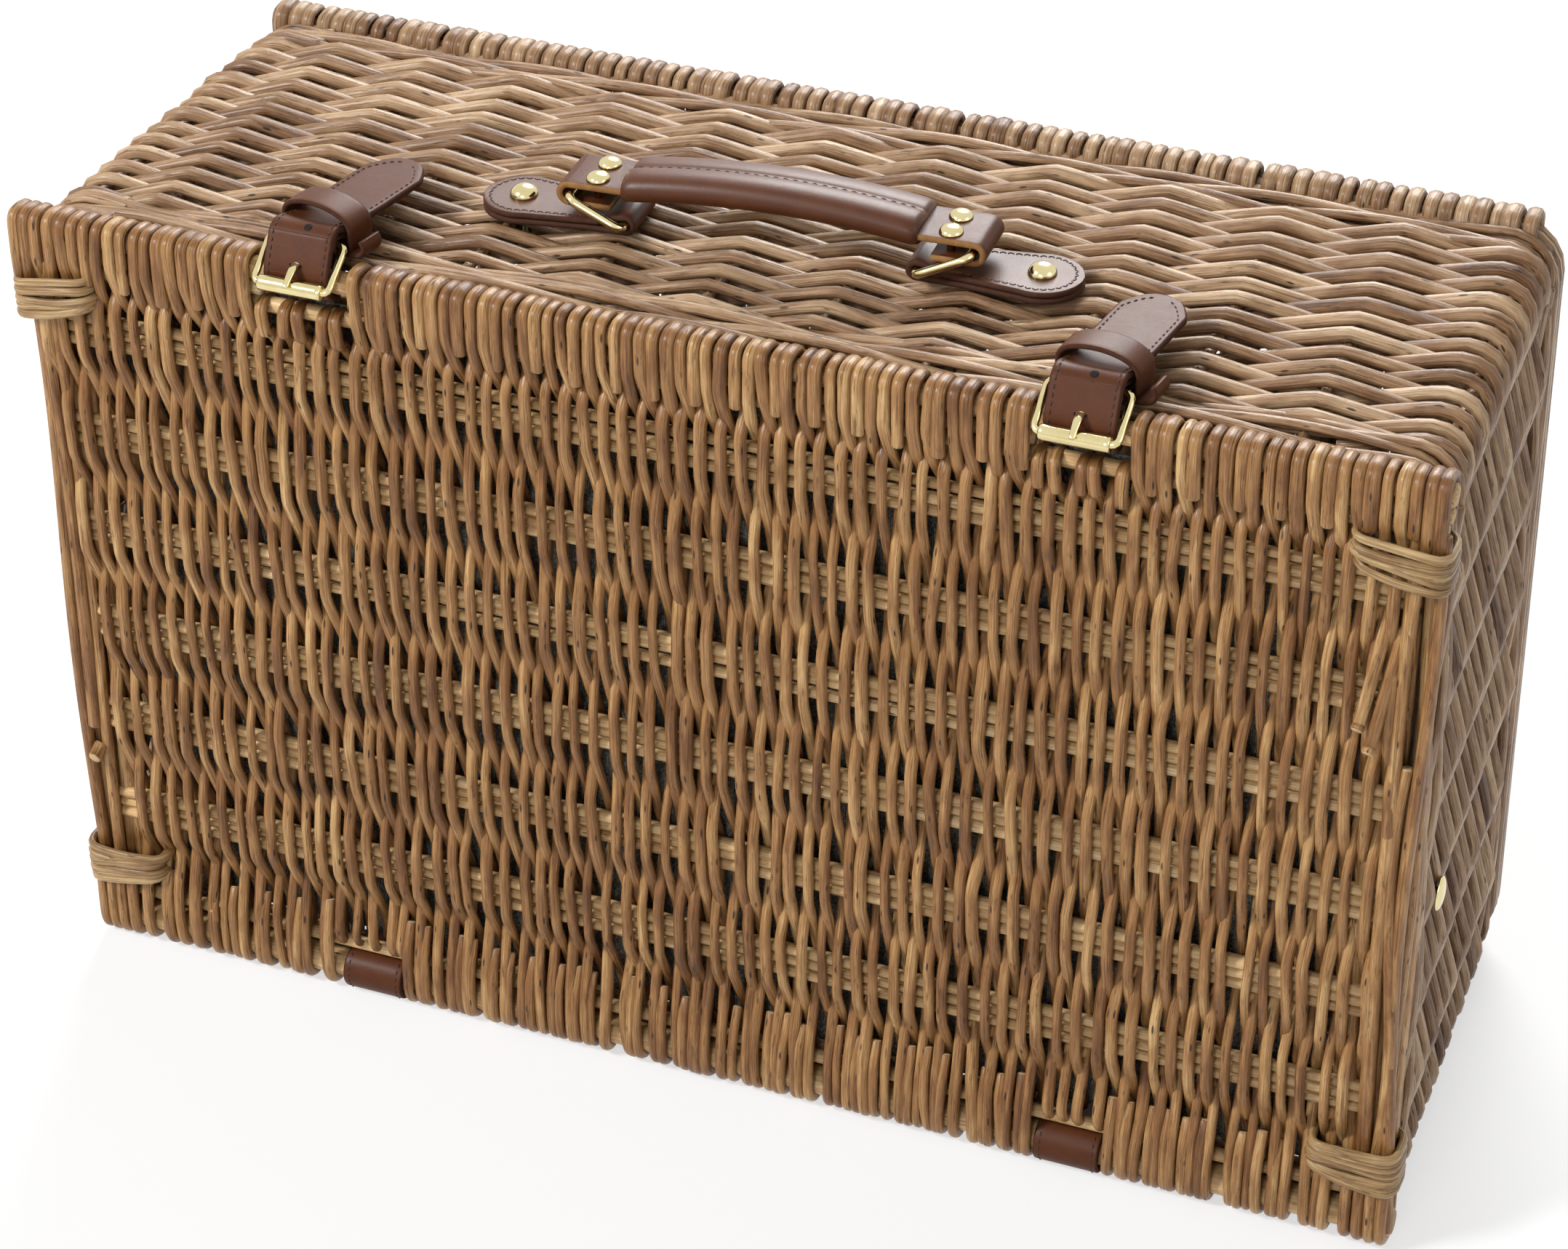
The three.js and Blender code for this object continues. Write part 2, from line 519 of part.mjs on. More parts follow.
function buildLid() {
  const past = 2 * SEAM;
  const strapNotches = Object.values(STRAP_X).map((x) => block(
    x - FRAME_HALF_W - WIRE_R - NOTCH_PLAY, x + FRAME_HALF_W + WIRE_R + NOTCH_PLAY,
    -LID_T, 2 * LID_T, HEIGHT - STRAP_NOTCH_DEPTH, HEIGHT + LID_T));
  const rodTop = (radius, reach) => barX(radius, -reach, reach, LID_MID_Y, TOP_ROD_Z);
  addPiece('lid_top_border', cut(prismX(borderProfile(TOP_ROD_Z, true), -HALF_W, HALF_W, FINE),
    rodTop(TOP_ROD_R + SEAM, HALF_W + past), ...strapNotches), willow);
  addPiece('lid_top_rod', rodTop(TOP_ROD_R, HALF_W), peeled);

  const bridge = BORDER_LOW_TOP - HINGE_Z - (HINGE_ROD_R + SEAM + HINGE_LEATHER_T);
  const hingeNotches = [-1, 1].map((side) => block(
    side * HINGE_X - HINGE_W / 2 - NOTCH_PLAY, side * HINGE_X + HINGE_W / 2 + NOTCH_PLAY,
    -LID_T, 2 * LID_T, -LID_T, BORDER_LOW_TOP - bridge / 2));
  const rodLow = (radius, reach) => barX(radius, -reach, reach, LID_MID_Y, HINGE_Z, 14);
  addPiece('lid_bottom_border', cut(prismX(borderProfile(HINGE_Z, false), -HALF_W, HALF_W, FINE),
    rodLow(HINGE_ROD_R + SEAM, HALF_W + past), ...hingeNotches), willow);
  addPiece('lid_hinge_rod', rodLow(HINGE_ROD_R, HALF_W), peeled);

  const bindingX0 = HALF_W - BINDING_REACH;
  const bindingX1 = HALF_W + SEAM + BINDING_T;
  const corners = [
    ['top', BINDING_TOP_TURNS, PANEL_Z1 - SEAM - (BINDING_TOP_TURNS * BINDING_TURN_H) / 2],
    ['bottom', BINDING_BOTTOM_TURNS, PANEL_Z0 + SEAM + (BINDING_BOTTOM_TURNS * BINDING_TURN_H) / 2]];
  const slots = corners.flatMap(([end, turns, z]) => [-1, 1].map((side) => block(
    side * (bindingX0 + BINDING_T / 2) - BINDING_T / 2 - SEAM,
    side * (bindingX0 + BINDING_T / 2) + BINDING_T / 2 + SEAM,
    -LID_T, 2 * LID_T,
    end === 'bottom' ? PANEL_Z0 - SEAM : z - (turns * BINDING_TURN_H) / 2 - SEAM,
    end === 'top' ? PANEL_Z1 + SEAM : z + (turns * BINDING_TURN_H) / 2 + SEAM)));
  const grooveHalf = STICK_PITCH / 2 + STICK_R + SEAM;
  const grooves = ROW_HEIGHTS.map((z) => block(
    -HALF_W, HALF_W, -LID_T, LID_MID_Y + STICK_R + SEAM, z - grooveHalf, z + grooveHalf));
  const panel = block(-PANEL_HALF_W, PANEL_HALF_W, PANEL_FRONT, PANEL_BACK, PANEL_Z0, PANEL_Z1);
  addPiece('lid_panel', cut(panel, ...slots, ...grooves), willow);
  const lining = block(-LINING_HALF_W, LINING_HALF_W,
    PANEL_BACK + SEAM, PANEL_BACK + SEAM + LINING_T, PANEL_Z0, PANEL_Z1);
  addPiece('lid_lining', lining, cloth);

  ROW_HEIGHTS.forEach((z, i) => addPiece(`lid_sticks_${i + 1}`, stickPair(z), peeled));
  for (const [name, side] of [['left', -1], ['right', 1]]) {
    const rods = prismZ(bundle(SIDE_RODS, SIDE_ROD_R, SIDE_ROD_PITCH, SIDE_ROD_LAYER), PANEL_Z0, PANEL_Z1);
    addPiece(`lid_side_rods_${name}`,
      rods.translate(side * (HALF_W - SIDE_BUNDLE_W / 2), LID_MID_Y, 0), willow);
    for (const [end, turns, z] of corners) {
      const depth = SIDE_ROD_LAYER + SIDE_ROD_R + SEAM + BINDING_T / 2;
      const round = outlinePoints(roundedRectangle(bindingX0 + BINDING_T / 2, bindingX1 - BINDING_T / 2,
        LID_MID_Y - depth, LID_MID_Y + depth, BINDING_T), 1);
      const binding = hoop(round, bindingSection(turns), new THREE.Matrix4().setPosition(0, 0, z));
      if (side < 0) binding.rotateZ(Math.PI).translate(0, LID_T, 0);
      addPiece(`lid_binding_${end}_${name}`, binding, splint);
    }
  }
}

// Turns of split willow lying edge to edge, with a furrow between each two
function bindingSection(turns) {
  const height = turns * BINDING_TURN_H;
  const outside = Array.from({ length: 3 * turns + 1 }, (_, i) => [
    BINDING_T / 2 - (i % 3 === 0 ? BINDING_GROOVE : 0), (i * height) / (3 * turns) - height / 2]);
  return [[-BINDING_T / 2, -height / 2], ...outside, [-BINDING_T / 2, height / 2]];
}

function stickPair(z) {
  const pair = prism(bundle(2, STICK_R, STICK_PITCH), 2 * PANEL_HALF_W);
  return pair.rotateZ(Math.PI / 2).applyMatrix4(ALONG_X).translate(-PANEL_HALF_W, LID_MID_Y, z);
}

// Leather hinges: a loop round the lid's hinge rod and a tail on the back wall's inside

function buildHinges() {
  const inner = HINGE_ROD_R + SEAM;
  const outer = inner + HINGE_LEATHER_T;
  const tailZ = WALL + SEAM;
  for (const [name, side] of [['left', -1], ['right', 1]]) {
    const x0 = side * HINGE_X - HINGE_W / 2;
    const loop = new THREE.Shape().absarc(LID_MID_Y, HINGE_Z, outer, 0, 2 * Math.PI);
    const bore = barX(inner, x0 - SEAM, x0 + HINGE_W + SEAM, LID_MID_Y, HINGE_Z, 14);
    const tail = block(x0, x0 + HINGE_W, LID_MID_Y + inner, HINGE_TAIL_END, tailZ, tailZ + HINGE_TAIL_T);
    const leatherLoop = join(prismX(loop, x0, x0 + HINGE_W, FINE + COARSE), tail);
    addPiece(`hinge_leather_${name}`, cut(leatherLoop, bore), leather);
  }
}

// Closures: strap on the lid's top rod; chape, keeper and buckle on the body's front wall

function leanBack(geometry, fromY, slope) {
  const place = geometry.attributes.position;
  for (let i = 0; i < place.count; i++) {
    place.setX(i, place.getX(i) + Math.max(0, place.getY(i) - fromY) * slope);
  }
  geometry.computeVertexNormals();
  return geometry;
}

function strapRoute() {
  const eyeR = CHAPE_EYE_R + 2 * SEAM + STRAP_T / 2;
  const overChape = WALL_TOP + 2 * SEAM + KEEPER_T + CHAPE_TAIL_T + 2 * SEAM + STRAP_T / 2;
  const aroundRod = arcPoints(LID_MID_Y, TOP_ROD_Z, STRAP_LOOP_R, 40, -180, 14);
  const overHeel = arcPoints(HEEL_Y, HEEL_Z, eyeR, 155, 75, 4);
  const free = [
    [KEEPER_Y - 2, overChape + 0.4], [CHAPE_END_Y + 1, overChape],
    [(CHAPE_END_Y + STRAP_END_Y) / 2, overChape], [STRAP_END_Y, overChape]];
  const curve = new THREE.SplineCurve([
    aroundRod.at(-1), new THREE.Vector2(LID_MID_Y - STRAP_LOOP_R + 0.4, TOP_ROD_Z + 4.5),
    ...overHeel, ...free.map(([y, z]) => new THREE.Vector2(y, z))]);
  return [...aroundRod, ...curve.getPoints(40).slice(1)];
}

// The buckle is drawn flat: u from the heel bar to the roller, v across, then tilted in place
const buckleFrame = new THREE.Matrix4().makeBasis(
  new THREE.Vector3(0, -Math.cos(TILT), -Math.sin(TILT)), new THREE.Vector3(1, 0, 0),
  new THREE.Vector3(0, -Math.sin(TILT), Math.cos(TILT))).setPosition(0, HEEL_Y, HEEL_Z);

function prongBar(width, thickness, from, past) {
  const rise = Math.atan2(ROLLER_R + SEAM + PRONG_T / 2 - (PRONG_EYE_R - PRONG_T / 2), BUCKLE_L);
  return new THREE.BoxGeometry(BUCKLE_L + past - from, width, thickness)
    .translate((BUCKLE_L + past + from) / 2, 0, 0).rotateY(-rise)
    .translate(0, 0, PRONG_EYE_R - PRONG_T / 2).applyMatrix4(buckleFrame);
}

function buildClosures() {
  const profile = ribbon(strapRoute(), STRAP_T);
  const eyeBore = WIRE_R + SEAM;
  const tailZ = WALL_TOP + 2 * SEAM + KEEPER_T;
  for (const name of ['left', 'right']) {
    const x = STRAP_X[name];
    const slope = Math.tan(THREE.MathUtils.degToRad(STRAP_LEAN_DEG[name]));

    const tip = polygon([
      [-STRAP_W / 2, -LID_T], [STRAP_W / 2, -LID_T], [STRAP_W / 2, STRAP_END_Y - STRAP_TIP_L],
      [STRAP_TIP_W / 2, STRAP_END_Y], [-STRAP_TIP_W / 2, STRAP_END_Y],
      [-STRAP_W / 2, STRAP_END_Y - STRAP_TIP_L]]);
    const band = common(prismX(profile, -STRAP_W, STRAP_W), prismZ(tip, 0, 2 * HEIGHT));
    const spareHole = barZ(STRAP_HOLE_R, HEEL_Z + PRONG_EYE_R, HEIGHT + LID_T * 2, 0, HEEL_Y + 1);
    const prongHole = prongBar(PRONG_W + 4 * SEAM, PRONG_T + 2 * SEAM, 0, PRONG_OVERRUN + SEAM);
    const strap = leanBack(cut(band, spareHole, prongHole), HEEL_Y + PRONG_EYE_R, slope);
    addPiece(`strap_${name}`, strap.translate(x, 0, 0), leather);

    const chapeSide = new THREE.Shape();
    chapeSide.absarc(HEEL_Y, HEEL_Z, CHAPE_EYE_R, 1.5 * Math.PI, Math.PI / 2, true);
    chapeSide.lineTo(HEEL_Y + 2 * CHAPE_EYE_R, tailZ + CHAPE_TAIL_T);
    chapeSide.lineTo(CHAPE_END_Y, tailZ + CHAPE_TAIL_T);
    chapeSide.lineTo(CHAPE_END_Y, tailZ);
    const chape = cut(prismX(chapeSide, -CHAPE_W / 2, CHAPE_W / 2, FINE),
      barX(eyeBore, -CHAPE_W, CHAPE_W, HEEL_Y, HEEL_Z),
      block(-CHAPE_SLOT_W / 2, CHAPE_SLOT_W / 2, HEEL_Y - 2 * CHAPE_EYE_R, HEEL_Y + PRONG_EYE_R + 2 * SEAM,
        WALL_TOP, HEEL_Z + 2 * CHAPE_EYE_R));
    addPiece(`chape_${name}`, leanBack(chape, HEEL_Y + PRONG_EYE_R, slope).translate(x, 0, 0), leather);

    const sideTop = KEEPER_SIDE_H + KEEPER_T / 2;
    const arch = [[-KEEPER_HALF_W, 0], [KEEPER_HALF_W, 0]].map(([u, v]) => new THREE.Vector2(u, v));
    arch.push(...arcPoints(0, 0, 1, 0, 180, 10).map((p) => new THREE.Vector2(
      p.x * KEEPER_HALF_W, sideTop + p.y * KEEPER_CROWN)));
    const keeperSection = [[-1, -1], [1, -1], [1, 1], [-1, 1]].map(([out, across]) => [
      (out * KEEPER_T) / 2, (across * KEEPER_L) / 2]);
    const keeper = hoop(arch, keeperSection, ALONG_Y);
    keeper.rotateZ(-Math.atan(slope)).translate(
      x + slope * (KEEPER_Y - HEEL_Y - PRONG_EYE_R), KEEPER_Y, WALL_TOP + SEAM + KEEPER_T / 2);
    addPiece(`keeper_${name}`, keeper, leather);

    const wire = outlinePoints(roundedRectangle(0, BUCKLE_L, -FRAME_HALF_W, FRAME_HALF_W, FRAME_CORNER_R), 2);
    const frame = hoop(wire, circle(WIRE_R, 8), buckleFrame);
    addPiece(`buckle_frame_${name}`, frame.translate(x, 0, 0), brass);

    const rollerTube = new THREE.LatheGeometry([
      [eyeBore, -ROLLER_L / 2], [ROLLER_R, -ROLLER_L / 2], [ROLLER_R, ROLLER_L / 2],
      [eyeBore, ROLLER_L / 2], [eyeBore, -ROLLER_L / 2]].map(([r, h]) => new THREE.Vector2(r, h)), 14);
    addPiece(`buckle_roller_${name}`,
      rollerTube.rotateZ(Math.PI / 2).translate(x, ROLLER_Y, ROLLER_Z), brass);

    const eye = barX(PRONG_EYE_R, -PRONG_W / 2, PRONG_W / 2, HEEL_Y, HEEL_Z);
    const prong = cut(join(eye, prongBar(PRONG_W, PRONG_T, 0, PRONG_OVERRUN)),
      barX(eyeBore, -PRONG_W, PRONG_W, HEEL_Y, HEEL_Z));
    addPiece(`buckle_prong_${name}`, prong.translate(x, 0, 0), brass);
  }
}

// Carrying handle, drawn in its own frame on the front wall

function handleStrapRoute() {
  const topZ = RING_TOP_Z + LOOP_MID_R;
  const lowZ = RING_TOP_Z - LOOP_MID_R;
  const right = [
    ...Array.from({ length: 9 }, (_, i) => (GRIP_HALF_L * i) / 8)
      .map((x) => new THREE.Vector2(x, topZ + GRIP_RISE * (1 - (x / GRIP_HALF_L) ** 2))),
    ...arcPoints(LOOP_FOLD_X, RING_TOP_Z, LOOP_MID_R, 90, -90, 8),
    new THREE.Vector2(LOOP_TUCK_X, lowZ)];
  const left = right.slice(1).reverse().map((p) => new THREE.Vector2(-p.x, p.y));
  return [...left, ...right];
}

function gripCover() {
  const topZ = RING_TOP_Z + LOOP_MID_R;
  const rings = Array.from({ length: 13 }, (_, i) => {
    const x = GRIP_HALF_L * (i / 6 - 1);
    const z = topZ + GRIP_RISE * (1 - (x / GRIP_HALF_L) ** 2);
    return Array.from({ length: 16 }, (_, j) => {
      const angle = (2 * Math.PI * j) / 16;
      const [c, s] = [Math.cos(angle), Math.sin(angle)];
      const round = (v) => Math.sign(v) * Math.abs(v) ** 0.7;
      return new THREE.Vector3(x, GRIP_HALF_W * round(c), z + GRIP_HALF_T * round(s));
    });
  });
  return skin(rings, false);
}

function buildHandle() {
  const handle = new THREE.Group();
  handle.applyMatrix4(handleFrame);
  basket.add(handle);

  const route = handleStrapRoute();
  const rivetPlaces = [-1, 1].flatMap((side) => [['front', -1], ['rear', 1]].map(([end, across]) => ({
    name: `loop_rivet_${side < 0 ? 'left' : 'right'}_${end}`,
    x: side * LOOP_RIVET_X,
    y: across * LOOP_RIVET_Y,
  })));
  const rivetHoles = rivetPlaces.map(({ x, y }) => barZ(LOOP_RIVET.shank + RIVET_PLAY, 0, HEIGHT, x, y));
  const strap = cut(prismY(ribbon(route, LOOP_T), -LOOP_W / 2, LOOP_W / 2), ...rivetHoles);
  addPiece('handle_strap', strap, leather, handle);
  const overTop = route.filter((p) => p.y > RING_TOP_Z);
  const channel = prismY(ribbon(overTop, LOOP_T + 2 * SEAM), -LOOP_W / 2 - SEAM, LOOP_W / 2 + SEAM);
  addPiece('grip_cover', cut(gripCover(), channel), leather, handle);
  for (const { name, x, y } of rivetPlaces) {
    const seat = RING_TOP_Z + LOOP_MID_R + LOOP_T / 2 + SEAM;
    const grip = 2 * (LOOP_MID_R + LOOP_T / 2 + SEAM);
    addPiece(name, rivet(LOOP_RIVET, grip, 12).translate(x, y, seat), brass, handle);
  }

  for (const [name, side] of [['left', -1], ['right', 1]]) {
    const turn = side < 0 ? Math.PI : 0;
    const tabSide = new THREE.Shape();
    tabSide.absarc(CURL_X, CURL_Z, CURL_R, 1.5 * Math.PI, Math.PI / 2, true);
    tabSide.lineTo(CURL_X + 2 * CURL_R, SEAM + TAB_T);
    tabSide.lineTo(TAB_RIVET_X + 2 * TAB_END_R, SEAM + TAB_T);
    tabSide.lineTo(TAB_RIVET_X + 2 * TAB_END_R, SEAM);
    const tabPlan = new THREE.Shape();
    tabPlan.moveTo(0, TAB_NECK_W / 2);
    tabPlan.lineTo(0, -TAB_NECK_W / 2);
    tabPlan.lineTo(CURL_X + 3 * CURL_R, -TAB_NECK_W / 2);
    tabPlan.absarc(TAB_RIVET_X, 0, TAB_END_R, -0.6 * Math.PI, 0.6 * Math.PI);
    tabPlan.lineTo(CURL_X + 3 * CURL_R, TAB_NECK_W / 2);
    const bore = new THREE.CylinderGeometry(RING_WIRE_R + SEAM, RING_WIRE_R + SEAM, TAB_NECK_W * 2, 12)
      .translate(CURL_X, 0, CURL_Z);
    const rivetHole = barZ(TAB_RIVET.shank + RIVET_PLAY, -WALL, WALL, TAB_RIVET_X, 0);
    const tab = cut(common(prismY(tabSide, -2 * TAB_END_R, 2 * TAB_END_R, FINE), prismZ(tabPlan, 0, WALL, FINE)),
      bore, rivetHole);
    addPiece(`handle_tab_${name}`, tab.rotateZ(turn), leather, handle);
    const seat = SEAM + TAB_T + SEAM;
    const fastening = rivet(TAB_RIVET, seat + WALL + SEAM).translate(TAB_RIVET_X, 0, seat);
    addPiece(`tab_rivet_${name}`, fastening.rotateZ(turn), brass, handle);

    const ringPlane = new THREE.Matrix4().makeBasis(
      new THREE.Vector3(Math.cos(RING_REST), 0, Math.sin(RING_REST)), new THREE.Vector3(0, 1, 0),
      new THREE.Vector3(-Math.sin(RING_REST), 0, Math.cos(RING_REST))).setPosition(CURL_X, 0, CURL_Z);
    const wire = outlinePoints(roundedRectangle(0, RING_L, -RING_HALF_W, RING_HALF_W, RING_CORNER_R), 2);
    addPiece(`ring_${name}`, hoop(wire, circle(RING_WIRE_R, 8), ringPlane).rotateZ(turn), brass, handle);
  }
}

buildBody();
buildLid();
buildHinges();
buildClosures();
buildHandle();

// Stand the basket with its origin on the table, under the middle of its box
const hamper = new THREE.Group();
hamper.add(basket);
hamper.updateMatrixWorld(true);
const box = new THREE.Box3().setFromObject(basket, true);
const middle = box.getCenter(new THREE.Vector3());
basket.position.set(-middle.x, -middle.y, -box.min.z);

export default hamper;
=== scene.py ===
# %% [markdown]
# # A willow picnic basket, rod by rod
#
# The real basket is a hamper of brown willow that stands on its hinge side like a suitcase: a woven lid
# in front, woven walls round it, a leather carrying handle and two buckled straps on top. Its look is
# the weave. A flat box with a bump pattern would lose the outline, the gaps and the shadows between the
# rods, so every rod here is a real tube that goes over and under the sticks. First comes the frame: the
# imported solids, whose places and joints the dressed basket keeps to.

# %% The frame
import math

import bpy
import numpy as np
from mathutils import Matrix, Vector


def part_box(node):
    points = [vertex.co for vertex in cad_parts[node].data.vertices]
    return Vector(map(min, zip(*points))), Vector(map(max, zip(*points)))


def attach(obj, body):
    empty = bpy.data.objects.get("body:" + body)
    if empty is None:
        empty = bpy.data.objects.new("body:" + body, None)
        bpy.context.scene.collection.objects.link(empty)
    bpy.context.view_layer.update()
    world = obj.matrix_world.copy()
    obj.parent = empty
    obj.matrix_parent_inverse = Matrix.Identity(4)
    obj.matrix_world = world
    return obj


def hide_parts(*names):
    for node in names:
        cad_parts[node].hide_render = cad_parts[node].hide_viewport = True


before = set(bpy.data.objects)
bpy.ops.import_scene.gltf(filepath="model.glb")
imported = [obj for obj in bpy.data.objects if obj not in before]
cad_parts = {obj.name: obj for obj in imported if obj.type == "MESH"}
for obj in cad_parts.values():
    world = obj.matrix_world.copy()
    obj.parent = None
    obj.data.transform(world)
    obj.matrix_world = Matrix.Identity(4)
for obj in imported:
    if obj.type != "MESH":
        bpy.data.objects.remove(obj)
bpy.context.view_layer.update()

# %% [markdown]
# Sizes are easier to think about in millimetres, measured as a basket maker would: `x` from the middle
# of the lid, `y` backwards from the lid's front and `z` up from the table. One function turns such
# points into the frame's metres, and everything below goes through it.

# %% Millimetres from the lid's front
LID_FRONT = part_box("lid_top_border")[0].y
HALF_W = 250.0
LID_TOP = 309.0
WALL_TOP = 307.0
DEPTH = 188.0
chance = np.random.default_rng(41)


def place(points):
    metres = np.array(points, float) * 0.001
    metres[..., 1] += LID_FRONT
    return metres


def half_width(y):
    """Half the basket's width at a depth: the side walls lean in by 6 mm towards the base."""
    return HALF_W - 6.0 * (np.asarray(y, float) - 16) / (DEPTH - 16)


print("lid's front in the frame:", round(LID_FRONT, 5), "m")

# %% [markdown]
# A finish is a small tree of shader nodes. Written node by node it would fill pages, so one class wraps
# a socket: arithmetic on it adds Math nodes, and `node` adds any other kind. Colours never go through
# Math nodes, which would turn them grey; they go through Mix nodes instead.

# %% Shader sockets as Python values
class Thread:
    """A socket in a material's tree, which can be added, multiplied and compared like a number."""

    def __init__(self, tree, socket=None):
        self.tree = tree
        self.socket = socket

    def node(self, kind, settings=None, inputs=None, output=0):
        made = self.tree.nodes.new(kind)
        for key, value in (settings or {}).items():
            if key == "stops":
                ramp = made.color_ramp
                while len(ramp.elements) < len(value):
                    ramp.elements.new(0.5)
                for stop, (where, colour) in zip(ramp.elements, value):
                    stop.position = where
                    stop.color = (*colour, 1)
            else:
                setattr(made, key, value)
        for key, value in (inputs or {}).items():
            if isinstance(value, Thread):
                self.tree.links.new(value.socket, made.inputs[key])
            else:
                made.inputs[key].default_value = value
        return Thread(self.tree, made.outputs[output])

    def maths(self, operation, first, second=0.0, clamp=False):
        settings = {"operation": operation, "use_clamp": clamp}
        return self.node("ShaderNodeMath", settings, {0: first, 1: second})

    def __add__(self, other):
        return self.maths("ADD", self, other)

    __radd__ = __add__

    def __sub__(self, other):
        return self.maths("SUBTRACT", self, other)

    def __rsub__(self, other):
        return self.maths("SUBTRACT", other, self)

    def __mul__(self, other):
        return self.maths("MULTIPLY", self, other)

    __rmul__ = __mul__

    def __gt__(self, other):
        return self.maths("GREATER_THAN", self, other)

    def clamped(self):
        return self.maths("ADD", self, 0.0, True)

    def between(self, low, high):
        """0 up to low, 1 from high, and a smooth step between them."""
        settings = {"interpolation_type": "SMOOTHSTEP"}
        inputs = {"Value": self, "From Min": low, "From Max": high}
        return self.node("ShaderNodeMapRange", settings, inputs)

    def scaled(self, by):
        return self.node("ShaderNodeVectorMath", {"operation": "MULTIPLY"}, {0: self, 1: by})

    def noise(self, scale=1.0, detail=3.0, roughness=0.55):
        inputs = {"Vector": self, "Scale": scale, "Detail": detail, "Roughness": roughness}
        return self.node("ShaderNodeTexNoise", {}, inputs)

    def ramp(self, *stops):
        return self.node("ShaderNodeValToRGB", {"stops": stops}, {"Fac": self})

    def mixed(self, first, second):
        """Colours: self is the share of the second one."""
        return self.node("ShaderNodeMix", {"data_type": "RGBA"}, {0: self, 6: first, 7: second}, 2)


print("sockets can be added, multiplied and compared")

# %% [markdown]
# A finish in Blender is a material with a Principled shader. Most of its sockets keep one value all over
# the surface, so they are set as plain numbers; only what really changes along a rod or over a hide is
# linked. Two small helpers do that, and a third turns a height into a bump.

# %% Starting a finish
def new_finish(name, **fixed):
    """A material with its shader's constant sockets set; returns it, its shader and a first Thread."""
    material = bpy.data.materials.new(name)
    material.use_nodes = True
    shader = material.node_tree.nodes["Principled BSDF"]
    for key, value in fixed.items():
        shader.inputs[key.replace("_", " ")].default_value = value
    return material, shader, Thread(material.node_tree)


def wire_up(shader, **links):
    for key, thread in links.items():
        thread.tree.links.new(thread.socket, shader.inputs[key.replace("_", " ")])


def bumped(height, distance, strength=1.0):
    inputs = {"Height": height, "Distance": distance, "Strength": strength}
    return height.node("ShaderNodeBump", {}, inputs)


print("finishes can be started")

# %% [markdown]
# Willow with its bark boiled on, the "buff" of basket makers, is honey to brown, with streaks that run
# along each rod, cracks and scars in the bark, dark specks where the buds sat and a soft gloss. An image
# would need unwrapping; here each rod's mesh carries its own grain coordinates (millimetres along it and
# round it) and one random tone, so every rod differs, and the streaks follow its bends.

# %% Willow, peeled sticks and split bindings
def willow_finish(name, stops, spots, gloss, fibre=0.24):
    """Willow from dark to light stops, with a share of bud spots and of streaks (fibre)."""
    material, shader, start = new_finish(name, IOR=1.45, Coat_Roughness=0.3, Specular_IOR_Level=0.24)
    grain = start.node("ShaderNodeAttribute", {"attribute_name": "grain"}, {}, "Vector")
    tone = start.node("ShaderNodeAttribute", {"attribute_name": "tone"}, {}, "Fac")
    cut = start.node("ShaderNodeAttribute", {"attribute_name": "cut"}, {}, "Fac")
    streaks = grain.scaled((0.035, 1.3, 1.3)).noise(1.0, 4.0, 0.65).between(0.34, 0.66)
    fine = grain.scaled((0.1, 3.0, 3.0)).noise(1.0, 3.0).between(0.3, 0.7)
    patches = grain.scaled((0.05, 0.22, 0.22)).noise(1.0, 3.0, 0.6).between(0.34, 0.66)
    length = grain.scaled((0.011, 0.05, 0.05)).noise(1.0, 1.0).between(0.3, 0.7)
    shade = tone * 0.36 + streaks * fibre + patches * 0.3 + length * 0.22 + fine * 0.12 - 0.12
    bark = shade.clamped().ramp(*stops)
    bud_place = grain.scaled((0.085, 0.36, 0.36))
    cell = {"voronoi_dimensions": "3D"}
    near = bud_place.node("ShaderNodeTexVoronoi", cell, {"Vector": bud_place, "Scale": 1.0}, "Distance")
    lot = bud_place.node("ShaderNodeTexVoronoi", cell, {"Vector": bud_place, "Scale": 1.0}, "Color")
    chosen = lot.node("ShaderNodeSeparateColor", {}, {0: lot}, 0) > (1.0 - spots)
    bud = (1 - near.between(0.09, 0.19)) * chosen
    cracks = grain.scaled((0.022, 1.5, 1.5)).noise(1.0, 3.0, 0.6).between(0.57, 0.68)
    scars = grain.scaled((0.09, 0.7, 0.7)).noise(1.0, 5.0, 0.7).between(0.585, 0.66)
    dark = stops[0][1]
    bark = (cracks * 0.5).mixed(bark, (*[0.8 * c for c in dark], 1))
    bark = (scars * 0.5).mixed(bark, (*[0.5 * c for c in dark], 1))
    bark = (bud * 0.92).mixed(bark, (0.018, 0.01, 0.006, 1))
    wood = (fine * 0.5 + streaks * 0.5).ramp((0.1, (0.42, 0.27, 0.13)), (0.9, (0.68, 0.5, 0.29)))
    relief = streaks * 0.45 + fine * 0.22 - cracks * 0.3 - scars * 0.3 + bud * 0.4
    wire_up(
        shader,
        Base_Color=cut.between(0.55, 0.8).mixed(bark, wood),
        Roughness=(gloss - streaks * 0.12 + cracks * 0.15 + cut * 0.3 + bud * 0.2).clamped(),
        Coat_Weight=(0.3 - cut * 0.3 - scars * 0.2 - cracks * 0.1).clamped(),
        Normal=bumped(relief, 0.00042, 0.8),
    )
    return material


